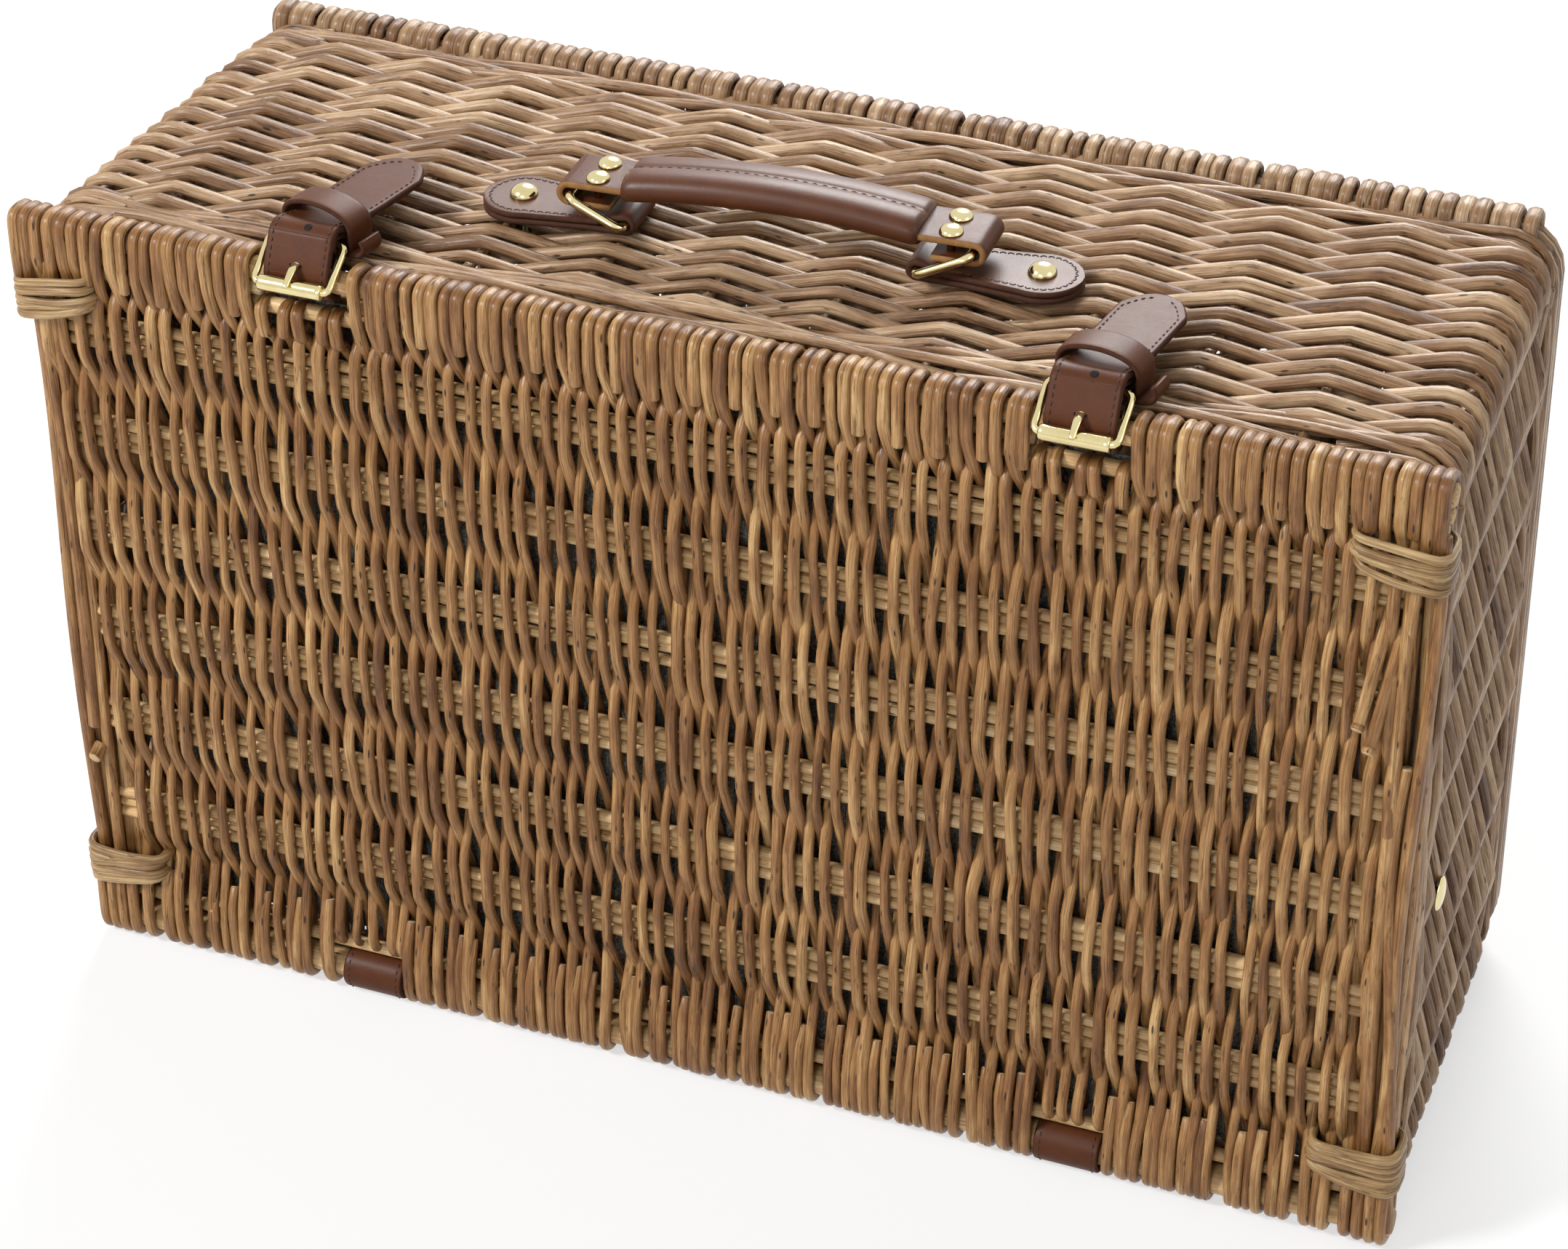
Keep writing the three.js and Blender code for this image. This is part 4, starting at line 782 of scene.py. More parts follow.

# %% [markdown]
# The grey cloth behind the lid's weave is stretched flat and stitched in at its edges. It shows only as
# a dark, speckled ground in the gaps, so a thin sheet with a gentle ripple is enough; a simulation would
# change nothing that can be seen.

# %% The lid's lining
def lining_sheet():
    columns, rows = 90, 56
    x = np.linspace(-221, 221, columns)
    z = np.linspace(21.5, 288, rows)
    grid_x, grid_z = np.meshgrid(x, z)
    ripple = 0.12 * np.sin(grid_x / 17) * np.sin(grid_z / 20.3)
    front = np.stack([grid_x, 15.35 + ripple, grid_z], -1).reshape(-1, 3)
    back = front + (0, 0.5, 0)
    count = columns * rows
    faces = []
    for r in range(rows - 1):
        for c in range(columns - 1):
            a = r * columns + c
            faces.append([a, a + 1, a + columns + 1, a + columns])
            faces.append([count + a, count + a + columns, count + a + columns + 1, count + a + 1])
    rim = list(range(columns)) + [r * columns + columns - 1 for r in range(1, rows)]
    rim += [(rows - 1) * columns + c for c in range(columns - 2, -1, -1)]
    rim += [r * columns for r in range(rows - 2, 0, -1)]
    for a, b in zip(rim, rim[1:] + rim[:1]):
        faces.append([b, a, count + a, count + b])
    return np.vstack([front, back]), faces


lining_points, lining_faces = lining_sheet()
lining = make_piece(
    "lid_lining_cloth", lining_points, lining_faces, "lid", LINING, ("lid_lining",), "lining")

# %% [markdown]
# ## The walls
#
# The walls are French randing: a stake every 40 mm round the basket, and one rod started beside each
# stake. Every rod goes over one stake and under the next, and climbs by one rod's thickness from stake
# to stake, so each is a long, leaning, zigzag spiral round the corners. A grid of waves on a plane would
# miss both the lean and the corners. Here a rod's place is counted in stakes round the basket, and one
# function turns that count into a place on the wall's middle line and its outward direction.

# %% The wall's middle line
INSET = 6.3
MID_X = half_width(102) - INSET
CORNER = 11.7
STAKES = 38
TOP_STAKES = [-207, -170, -132, -92, -51, -10, 31, 72, 113, 154, 195]


def wall_outline():
    """Dense points (x, z) and outward directions, clockwise from the top left corner's middle."""
    z0, z1 = INSET, WALL_TOP - INSET
    points, outward = [], []
    centres = ((-1, 1, 135, 90), (1, 1, 90, 0), (1, -1, 0, -90), (-1, -1, -90, -180), (-1, 1, 180, 135))
    for sx, sz, start, end in centres:
        cx = sx * (MID_X - CORNER)
        cz = z1 - CORNER if sz > 0 else z0 + CORNER
        for a in np.radians(np.linspace(start, end, 25)):
            points.append((cx + CORNER * math.cos(a), cz + CORNER * math.sin(a)))
            outward.append((math.cos(a), math.sin(a)))
    return np.array(points), np.array(outward)


OUTLINE, OUTWARD = wall_outline()
OUTLINE_RUN = np.r_[0, np.cumsum(np.linalg.norm(np.diff(OUTLINE, axis=0), axis=1))]


def stake_runs():
    """Distance along the outline of each stake: measured on top, evenly spread elsewhere."""
    corner_run = math.pi / 4 * CORNER
    top = [0.0] + [corner_run + x + MID_X - CORNER for x in TOP_STAKES]
    top_length = 2 * corner_run + 2 * (MID_X - CORNER)
    side_length = 2 * corner_run + WALL_TOP - 2 * INSET - 2 * CORNER
    runs = top
    start = top_length
    for count, length in ((7, side_length), (12, top_length), (7, side_length)):
        runs = runs + [start + length * i / count for i in range(count)]
        start += length
    return np.array(runs + [start])


STAKE_RUN = stake_runs()


def on_wall(count, y, lift):
    """Points at a count of stakes round the basket, a depth and a height above the middle line."""
    turns = np.floor(count / STAKES)
    run = np.interp(count - turns * STAKES, np.arange(STAKES + 1), STAKE_RUN)
    x = np.interp(run, OUTLINE_RUN, OUTLINE[:, 0])
    z = np.interp(run, OUTLINE_RUN, OUTLINE[:, 1])
    out = np.stack([np.interp(run, OUTLINE_RUN, OUTWARD[:, k]) for k in (0, 1)], 1)
    out = unit(out)
    lean = (half_width(y) - INSET) / MID_X
    return np.stack([x * lean + lift * out[:, 0], y, z + lift * out[:, 1]], 1)


print("wall outline", round(OUTLINE_RUN[-1]), "mm with", STAKES, "stakes")

# %% [markdown]
# The zigzag is nearly straight between two stakes and kinks over each one, because a stout rod bends
# sharply and only there. An arcsine of a cosine has that shape. The rods' thin ends are at the mouth
# and their thick ends at the base, where the waling rods hide them.

# %% The randed rods and the stakes
FIRST_Y = 32.0
CLIMB = 5.25
SWING = 4.5
SHARP = 0.995


def zigzag(m):
    """From 1 to -1 and back over two stakes, nearly straight between the kinks."""
    return np.arcsin(SHARP * np.cos(math.pi * m)) / math.asin(SHARP)


wall_rods = Rods()
for start in range(STAKES):
    m = np.arange(-0.75, 25.2, 1 / 12)
    y = FIRST_Y + CLIMB * m + chance.normal(0, 0.3)
    y = y + 0.4 * np.sin(m * chance.uniform(0.5, 1.1) + chance.uniform(0, 6))
    lift = SWING * chance.normal(1, 0.04) * zigzag(m)
    radius = np.linspace(2.4, 2.75, len(m)) * chance.normal(1, 0.07)
    wall_rods.lay(on_wall(start + m, y, lift), radius, ACROSS_Y, 8)
wall_rods.weave(
    "wall_weave", "basket", WALL_WILLOW,
    ("front_wall", "back_wall", "left_wall", "right_wall", "corner_front_left", "corner_front_right",
     "corner_back_left", "corner_back_right"))

stakes = Rods()
stake_y = np.linspace(18, 174, 24)
for i in range(STAKES):
    stake = on_wall(np.full(24, float(i)), stake_y, np.zeros(24))
    stakes.lay(stake, np.linspace(1.9, 2.2, 24), (1.0, 0, 1.0), 7)
stakes.weave("wall_stakes", "basket", WALL_WILLOW)

# %% [markdown]
# Along the mouth and along the base run a few rows of waling: thin rods, three at a time, each over two
# stakes and behind one. They lie almost parallel to the edge and finish the wall.

# %% The waling rows
def wale(rows, lifts):
    """Rows of waling, each at its depth and at its height above the wall's middle line."""
    rods = Rods()
    for i, (y, lift) in enumerate(zip(rows, lifts)):
        for start in (0.0, 12.7, 25.3):
            count = np.linspace(start - 0.4, start + 13.4, 150)
            wave = np.cos(2 * math.pi * (count / 3 + i / 3))
            place_y = y + 0.7 * np.sin(count * 0.9 + i) + 1.1 * (count - start) / 13 - 0.5
            height = lift + 1.7 * wave + 0.35 * np.sin(count * 2.3 + 2 * i)
            radius = np.linspace(2.24, 1.6, len(count)) * chance.normal(1, 0.05)
            rods.lay(on_wall(count, place_y, height), radius, ACROSS_Y, 8)
    return rods


mouth_nodes = [f"mouth_rod_{name}" for name in ("front", "back", "left", "right")]
mouth_rows = (18.2, 18.0, 20.9, 21.4, 24.2, 24.8, 27.6, 29.6)
mouth_lifts = (1.0, -2.6, 1.9, -2.2, 2.2, -1.8, 2.2, 1.6)
wale(mouth_rows, mouth_lifts).weave("mouth_wale", "basket", WALL_WILLOW, mouth_nodes)
wale((161.4, 164.7, 167.9, 170.8), (2.0, 2.3, 2.2, 1.6)).weave("base_wale", "basket", WALL_WILLOW)

# %% [markdown]
# ## The base
#
# The base is a panel like the lid, seen from behind, so the same function lays it with its depth turned
# round, with stouter rods, no lean, and two sticks to a row. Its border wraps show along the top rear
# edge. A hoop of three rods runs round it, under the wraps at the top and bottom and bare at the sides.

# %% The base's rods, sticks and hoop
BASE_TOP = WALL_TOP + 2.5
base_rods = Rods()
weave_panel(base_rods, 27, -232.5, BASE_TOP, lambda d: DEPTH - d, [], 7, 17.2, 0.0)
base_rods.weave("base_weave", "basket", WALL_WILLOW, ("base_panel",))

base_sticks = Rods()
for row in ROW_Z:
    for offset in (-2.7, 2.7):
        path = straight(-231, 231, DEPTH - 8, row + offset)
        base_sticks.lay(path, chance.normal(2.6, 0.1), ACROSS_Y, 8)
base_sticks.weave("base_sticks", "basket", PEELED, (), "willow_pale")

base_hoop = Rods()
for y, inset_x, inset_z in ((174.4, 3.0, 8.2), (178.9, 2.9, 7.6), (183.4, 3.1, 8.0)):
    reach = half_width(y) - inset_x
    corners = rounded_loop(-reach, reach, inset_z, BASE_TOP - inset_z, 15, 9)
    ring = even_loop(corners, 5.0)
    path = np.stack([ring[:, 0], np.full(len(ring), y), ring[:, 1]], 1)
    path[:, 1] += 0.4 * np.sin(np.arange(len(ring)) * 0.11 + y)
    base_hoop.lay(path, 2.75, ACROSS_Y, 10, 1.0, None, True)
base_hoop.weave("base_hoop_rods", "basket", WALL_WILLOW, ("base_hoop",))

# %% [markdown]
# ## The leather
#
# Straps, keepers, tabs and hinges are all strips of leather that follow a path: flat on both faces,
# rounded at the cut edges, sometimes padded. One function sweeps such a section along a path with a
# width that may change, and marks the edges for the finish. A Solidify modifier on a flat sheet would
# give square edges, and leather's soft edge is what catches the light.

# %% Strips of leather
def spline(points, per=8):
    """A smooth curve that goes through every one of the points."""
    points = np.asarray(points, float)
    full = np.vstack([2 * points[0] - points[1], points, 2 * points[-1] - points[-2]])
    out = []
    for i in range(1, len(full) - 2):
        p0, p1, p2, p3 = full[i - 1:i + 3]
        for t in np.linspace(0, 1, per, endpoint=False):
            out.append(0.5 * (2 * p1 + (p2 - p0) * t + (2 * p0 - 5 * p1 + 4 * p2 - p3) * t ** 2
                              + (3 * p1 - p0 - 3 * p2 + p3) * t ** 3))
    out.append(points[-1])
    return np.array(out)


def strip_directions(path, across, closed=False):
    """Which way is sideways and which way is up, at each point of a strip."""
    step = np.roll(path, -1, 0) - np.roll(path, 1, 0) if closed else np.gradient(path, axis=0)
    ahead = unit(step)
    across = np.broadcast_to(np.asarray(across, float), path.shape)
    side = unit(across - (across * ahead).sum(1)[:, None] * ahead)
    return side, np.cross(ahead, side)


def strip_section(half, thick, crown):
    """Points (across, up) round a strip with soft edges, and how much each belongs to an edge."""
    soft = min(thick / 2, 0.95, half * 0.98)
    inside = half - soft
    flat = np.linspace(-inside, inside, 9)
    up = thick / 2 + crown * (1 - (flat / max(half, 0.01)) ** 2)

    def rounded(side, angles):
        for a in np.radians(angles):
            height = (thick / 2 - soft) * np.sign(math.sin(a)) + soft * math.sin(a)
            section.append((side * inside + soft * math.cos(a), height, 1.0))

    section = [(a, b, 0.0) for a, b in zip(flat, up)]
    rounded(1, (65, 30, 0, -30, -65))
    section += [(a, -thick / 2, 0.0) for a in flat[::-1]]
    rounded(-1, (245, 210, 180, 150, 115))
    return np.array(section)


def leather_strip(name, path, across, half, thick, body, stands_for=(), closed=False, crown=0.0,
                  finish=LEATHER):
    """A strip along a path; half is its half width, crown how far its upper face swells."""
    path = np.asarray(path, float)
    half = np.broadcast_to(np.asarray(half, float), len(path))
    crown = np.broadcast_to(np.asarray(crown, float), len(path))
    side, up = strip_directions(path, across, closed)
    sections = [strip_section(h, thick, c) for h, c in zip(half, crown)]
    rings = zip(path, sections, side, up)
    points = np.vstack([p + s[:, :1] * a + s[:, 1:2] * u for p, s, a, u in rings])
    edge = np.concatenate([s[:, 2] for s in sections])
    faces = ring_faces(len(path), len(sections[0]), closed, inward=True)
    make_piece(name, points, faces, body, finish, stands_for, "leather", edge=edge)


print("leather strips ready")

# %% [markdown]
# The stitches are single short threads: each comes out of the leather, lies on it and dips in again. A
# dashed line in the finish would look flat when seen close up, and a few hundred small rods cost little.

# %% Stitches
STITCH_DIP = np.array([-0.5, 0.0, 0.16, 0.16, 0.0, -0.5])[:, None]


def sew(threads, path, across, offset, height, pitch=2.7):
    """A row of stitches on a strip, at an offset from its middle, each dipping into the leather."""
    side, up = strip_directions(np.asarray(path, float), across)
    offset = np.broadcast_to(np.asarray(offset, float), len(path))
    height = np.broadcast_to(np.asarray(height, float), len(path))
    line = path + side * offset[:, None] + up * height[:, None]
    run = np.r_[0, np.cumsum(np.linalg.norm(np.diff(line, axis=0), axis=1))]
    for begin in np.arange(0.0, run[-1] - pitch, pitch):
        at = begin + np.linspace(0.0, pitch * 0.72, 6)
        stitch = np.stack([np.interp(at, run, line[:, k]) for k in range(3)], 1)
        rise = np.stack([np.interp(at, run, up[:, k]) for k in range(3)], 1)
        stitch += rise * STITCH_DIP
        threads.lay(stitch, 0.24, rise + 0.01, 6)


print("stitches ready")

# %% [markdown]
# Each strap is looped round the lid's top rod, comes up over the edge, passes through the buckle and the
# keeper and lies down on the wall, a little askew. Its tip is cut to a blunt, rounded point, and both
# edges are stitched.

# %% The straps
HEEL_Y = 12.3
HEEL_Z = WALL_TOP + 5.6
LEAN_FROM = HEEL_Y + 3.1
LEAN = {"left": math.tan(math.radians(12)), "right": math.tan(math.radians(7.5))}
STRAP_ACROSS = (-1.0, 0.0, 0.0)
STRAP_HALF = 12.0
STRAP_THICK = 2.5


def leaned(path, name):
    """The same path, turned askew behind the buckle's heel bar."""
    path = path.copy()
    path[:, 0] += np.maximum(0, path[:, 1] - LEAN_FROM) * LEAN[name]
    return path


def strap_path(x):
    around = arc(TOP_ROD, 5.65, 40, -180, 18)
    over_heel = arc((HEEL_Y, HEEL_Z), 5.35, 155, 75, 5)
    level = WALL_TOP + 8.7
    knots = [around[-1], (2.75, LID_TOP - 3.4)] + over_heel
    knots += [(21, level + 0.4), (34, level), (44, level + 0.1), (52, level + 0.2)]
    curve = spline(knots, 7)
    tip = [(y, level + 0.2) for y in np.linspace(53, 68, 19)]
    return at_x(x, np.vstack([around[:-1], curve, tip]))


def strap_half(y):
    """Half the strap's width, which narrows to the blunt tip."""
    places = (57.5, 60, 63.5, 65.6, 67, 67.7, 68)
    return np.interp(y, places, (STRAP_HALF, 10.9, 8.7, 7.0, 5.0, 3.2, 1.2))


for name, x in STRAP_X.items():
    middle = strap_path(x)
    free = np.arange(len(middle)) > 20
    half = np.where(free, strap_half(middle[:, 1]), STRAP_HALF)
    path = leaned(middle, name)
    tongue = f"tongue_{name}"
    leather_strip(
        f"strap_{name}_leather", path, STRAP_ACROSS, half, STRAP_THICK, tongue, (f"strap_{name}",))
    threads = Rods()
    sewn = free & (middle[:, 1] < 65.7)
    inset = np.maximum(strap_half(middle[sewn, 1] + 2.4) - 2.1, 0.1)
    for sign in (-1, 1):
        sew(threads, path[sewn], STRAP_ACROSS, sign * inset, STRAP_THICK / 2)
    threads.weave(f"strap_{name}_stitches", tongue, THREAD, (), "leather")

# %% [markdown]
# The chape is the folded leather that holds the buckle's heel bar; the keeper is the arched loop that
# the strap is tucked under. Both are strips again: one folded back on itself, one closed into a ring.
# The end of the keeper's leather comes out beside it as a small tail that curls up from the wall.

# %% Chapes and keepers
def chape_path(x):
    low, high = WALL_TOP + 3.6, WALL_TOP + 5.7
    route = [(33, low), (22, low), (15.5, low)] + arc((HEEL_Y, HEEL_Z), 2.45, -80, -270, 9)
    route += [(15.5, high + 1.4), (22, high), (33, high)]
    return at_x(x, spline(route, 4))


def keeper_ring():
    """The keeper's middle line (across, up): flat below, upright sides, an arch above."""
    arch = [(13.9 * math.cos(a), 8.7 + 6 * math.sin(a)) for a in np.linspace(0, math.pi, 15)]
    corners = [(-13.9, 1.2), (-12.6, 0), (0, 0), (12.6, 0), (13.9, 1.2)] + arch
    return even_loop(np.array(corners), 1.6)


KEEPER_Y = 23.0
TAIL_CURL = [(6.0, 1.2), (14.0, 1.0), (18.6, 1.9), (20.6, 4.6), (19.6, 7.4)]
for name, x in STRAP_X.items():
    path = leaned(chape_path(x), name)
    leather_strip(f"chape_{name}_leather", path, ACROSS_X, 11.3, 1.9, "basket", (f"chape_{name}",))
    ring = keeper_ring()
    turn = -math.atan(LEAN[name])
    along = np.array((-math.sin(turn), math.cos(turn), 0))
    level = np.array((math.cos(turn), math.sin(turn), 0))
    centre = np.array((x + LEAN[name] * (KEEPER_Y - LEAN_FROM), KEEPER_Y, WALL_TOP + 0.35 + 0.9))
    path = centre + ring[:, :1] * level + ring[:, 1:] * UPWARD
    leather_strip(
        f"keeper_{name}_leather", path, -along, 6, 1.75, "basket", (f"keeper_{name}",), True, 0.12)
    curl = spline(TAIL_CURL, 6)
    tail = centre - 2.4 * along + curl[:, :1] * level + (curl[:, 1:] - 0.6) * UPWARD
    leather_strip(f"keeper_{name}_tail", tail, -along, 5, 1.75, "basket")

# %% [markdown]
# Two leather loops hinge the lid: each goes round the hinge rod, is stitched in front, and its tail is
# fixed inside the basket. A strip along an arc with a straight end gives both.

# %% Hinge leathers
HINGE_RADIUS = 7.1
HINGE_THICK = 2.3
for name, x in HINGE_X.items():
    route = [(46, 11.6), (34, 11.6), (22, 11.6)] + arc(HINGE_ROD, HINGE_RADIUS, 24, 385, 34)
    path = at_x(x, spline(route, 2))
    leather_strip(
        f"hinge_{name}_strip", path, ACROSS_X, 12, HINGE_THICK, "basket", (f"hinge_leather_{name}",))
    threads = Rods()
    front = at_x(x, arc(HINGE_ROD, HINGE_RADIUS, 110, 250, 14))
    for sign in (-1, 1):
        sew(threads, front, ACROSS_X, sign * 9.6, HINGE_THICK / 2)
    threads.weave(f"hinge_{name}_stitches", "basket", THREAD, (), "leather")

# %% [markdown]
# ## The handle
#
# The handle is a strap in a padded cover. Its ends are folded into loops round brass rings, each closed
# by two domed rivets. The rings hang in leather tabs that are riveted to the wall. All of it is drawn
# in the handle's own frame, which stands a little askew on the wall, and moved there by one function.

# %% The handle's frame and its tabs
TURN = math.radians(2.9)


def on_handle(points):
    points = np.asarray(points, float)
    x = 3 + points[:, 0] * math.cos(TURN) - points[:, 1] * math.sin(TURN)
    y = 72.5 + points[:, 0] * math.sin(TURN) + points[:, 1] * math.cos(TURN)
    return np.stack([x, y, WALL_TOP + points[:, 2]], 1)


HANDLE_ACROSS = np.array((-math.sin(TURN), math.cos(TURN), 0))
RING_BAR = (51.0, 4.25)
RING_REACH = 21.0
RING_LEAN = math.radians(26)
RING_TOP_Z = RING_BAR[1] + RING_REACH * math.sin(RING_LEAN)
TAB_RIVET_X = 91.0
TAB_ROUND = 14.0
NECK_END = 86.67


def tab_half(x):
    """Half a tab's width: a neck at the ring that widens to a round end about the rivet."""
    neck = np.interp(x, (62.7, NECK_END), (10.5, 13.31))
    end = np.sqrt(np.maximum(TAB_ROUND ** 2 - (x - TAB_RIVET_X) ** 2, 0.2))
    return np.where(x > NECK_END, end, neck)


def tab_path():
    """A tab's route (along the handle, up): out to the rivet, back round the ring and out again."""
    tip = TAB_RIVET_X + TAB_ROUND - 0.15
    outer = tip - 40 * (1 - np.cos(np.linspace(0, 1, 26) * math.pi / 2))
    low = [(x, 1.45) for x in outer]
    curl = arc(RING_BAR, 2.85, -90, -270, 11)
    high = [(x, 3.75) for x in outer[::-1]]
    return np.array(low + [(58, 1.4)] + curl + [(57, 5.6), (61, 3.9)] + high)


for name, side in SIDES:
    route = tab_path()
    half = tab_half(route[:, 0])
    flat = np.stack([side * route[:, 0], np.zeros(len(route)), route[:, 1]], 1)
    leather_strip(
        f"tab_{name}_leather", on_handle(flat), -side * HANDLE_ACROSS, half, 2.1, "basket",
        (f"handle_tab_{name}",), finish=POLISHED)
    threads = Rods()
    angles = np.linspace(-1.9, 1.9, 60)
    around = np.stack([TAB_RIVET_X + 11.4 * np.cos(angles), 11.4 * np.sin(angles)], 1)
    outline = np.vstack([[(64, -8.3)], around, [(64, 8.3)]])
    line = np.stack([side * outline[:, 0], outline[:, 1], np.full(len(outline), 4.82)], 1)
    sew(threads, on_handle(line), UPWARD, 0.0, 0.0)
    threads.weave(f"tab_{name}_stitches", "basket", THREAD, (), "leather")

# %% [markdown]
# The cover is stitched along its top, off the middle: in front of the seam it is rolled and padded,
# behind it flatter. A section with those two bulges is swept along the strap's gentle arch.

# %% The handle's strap and grip
LOOP_RADIUS = 3.3
LOOP_Z = RING_TOP_Z + LOOP_RADIUS
LOOP_UNDER = RING_TOP_Z - LOOP_RADIUS


def grip_rise(x):
    """The strap's height above the wall: an arch that is 4 mm high in the middle."""
    return LOOP_Z + 4 * np.maximum(0, 1 - (np.asarray(x) / 51) ** 2)


def handle_strap_path():
    half = [(x, float(grip_rise(x))) for x in np.linspace(0, 60, 20)]
    half += arc((70.5, RING_TOP_Z), LOOP_RADIUS, 90, -90, 11) + [(63, LOOP_UNDER), (56, LOOP_UNDER)]
    right = np.array(half)
    left = right[:0:-1] * (-1, 1)
    both = np.vstack([left, right])
    return np.stack([both[:, 0], np.zeros(len(both)), both[:, 1]], 1)


leather_strip(
    "handle_strap_leather", on_handle(handle_strap_path()), -HANDLE_ACROSS, 11, 2.3, "handle",
    ("handle_strap",), finish=RAW_EDGED)

GRIP_SECTION = [
    (-12.4, -0.4), (-12.0, 2.0), (-10.2, 4.2), (-7.4, 5.3), (-4.2, 5.5), (-1.6, 5.1), (0.2, 4.3),
    (0.9, 3.9), (1.6, 4.2), (3.6, 4.5), (7.0, 4.2), (10.2, 3.4), (12.2, 2.3), (12.8, 1.0),
    (12.2, -0.6), (9.5, -2.4), (5.0, -3.4), (0.0, -3.9), (-5.0, -4.2), (-9.5, -3.8), (-11.8, -2.4)]


def grip_mesh():
    section = even_loop(spline(GRIP_SECTION + GRIP_SECTION[:1], 4)[:-1], 1.0)
    size = len(section)
    stations = np.linspace(-51.5, 51.5, 52)
    rings = []
    for x in stations:
        pinch = 1 - 0.16 * max(0, (abs(x) - 47.5) / 4) ** 2
        wide = section[:, 0] * (0.5 + 0.5 * pinch)
        high = grip_rise(x) + section[:, 1] * pinch
        rings.append(np.stack([np.full(size, x), wide, high], 1))
    return on_handle(np.vstack(rings)), ring_faces(len(stations), size, inward=True)


grip_points, grip_faces = grip_mesh()
grip = make_piece(
    "grip_cover_leather", grip_points, grip_faces, "handle", POLISHED, ("grip_cover",), "leather",
    edge=np.zeros(len(grip_points)))
handle_threads = Rods()
seam_x = np.linspace(-49, 49, 40)
seam = on_handle(np.stack([seam_x, np.full(40, 0.9), grip_rise(seam_x)], 1))
sew(handle_threads, seam, HANDLE_ACROSS, 0.0, 3.95, 3.4)
handle_threads.weave("handle_stitches", "handle", THREAD, (), "leather")

# %% [markdown]
# ## The brass
#
# Wire parts are closed rods with rounded corners; rivets, studs and rollers are turned: a profile is
# spun round an axis, as on a lathe. Blender's Screw modifier can spin a profile too, but a short
# function keeps the pieces as plain meshes.

# %% Turned and bent brass
def turned(profile, origin, axis, sides=36):
    """Spins points (radius, height) round an axis through origin; returns points and faces."""
    axis = unit(axis)
    u = unit(np.cross(axis, ACROSS_X if abs(axis[0]) < 0.9 else ACROSS_Y))
    v = np.cross(axis, u)
    points = []
    for radius, height in profile:
        centre = np.asarray(origin) + axis * height
        for a in np.arange(sides) * 2 * math.pi / sides:
            points.append(centre + radius * (math.cos(a) * u + math.sin(a) * v))
    return np.array(points), ring_faces(len(profile), sides)


def dome(head, height, shank, depth):
    """A rivet's profile from its hidden foot up to the top of its polished dome."""
    crown = [(head * math.cos(a), height * math.sin(a)) for a in np.radians(np.linspace(8, 88, 11))]
    return [(shank, -depth), (shank, -0.1), (head * 0.97, -0.1), (head, 0.12)] + crown


def rivet(name, at, head, height, shank, depth, body, axis=UPWARD):
    points, faces = turned(dome(head, height, shank, depth), at, axis)
    make_piece(f"{name}_brass", points, faces, body, BRASS, (name,), "brass")


LOOP_RIVETS = {"front": -5.5, "rear": 5.5}
STUD_Y, STUD_Z = 40.0, 127.0
for name, side in SIDES:
    for end, offset in LOOP_RIVETS.items():
        at = on_handle([(side * 61.5, offset, LOOP_Z + 1.25)])[0]
        rivet(f"loop_rivet_{name}_{end}", at, 4.1, 2.5, 1.5, 9.2, "handle")
    at = on_handle([(side * TAB_RIVET_X, 0, 4.85)])[0]
    rivet(f"tab_rivet_{name}", at, 4.9, 3.7, 1.8, 16, "basket")
    at = (side * (float(half_width(STUD_Y)) + 0.5), STUD_Y, STUD_Z)
    rivet(f"wall_stud_{name}", at, 6, 1.7, 2.0, 11.5, "basket", (float(side), 0, 0))

# %% [markdown]
# The buckle's frame is a bent wire that slopes down over the lid's edge, with a roller on its front bar;
# the prong is a flat tapered bar with an eye round the heel bar, and its tip lies on the roller. Under
# it the strap has a hole, and a spare one above the heel bar: each is a dark, shallow disc set into the
# leather, its near-black colour a painted shadow of the hole's inside, as a cut through the leather
# would not show more.

# %% The buckles
TILT = math.radians(36)
DOWN = np.array((0, -math.cos(TILT), -math.sin(TILT)))
OUT = np.array((0, -math.sin(TILT), math.cos(TILT)))
ROLLER_REACH = 18.0
ROLLER_END = [(2.7, 10.0), (2.68, 11.2), (2.3, 11.7), (1.75, 11.7)]
ROLLER = [(radius, -along) for radius, along in ROLLER_END[::-1]] + ROLLER_END
PRONG_TIP = 19.8
SPARE_HOLE = 1.95


def wire_loop(u1, half, corner, step=1.1):
    return even_loop(rounded_loop(0, u1, -half, half, corner, 7), step)


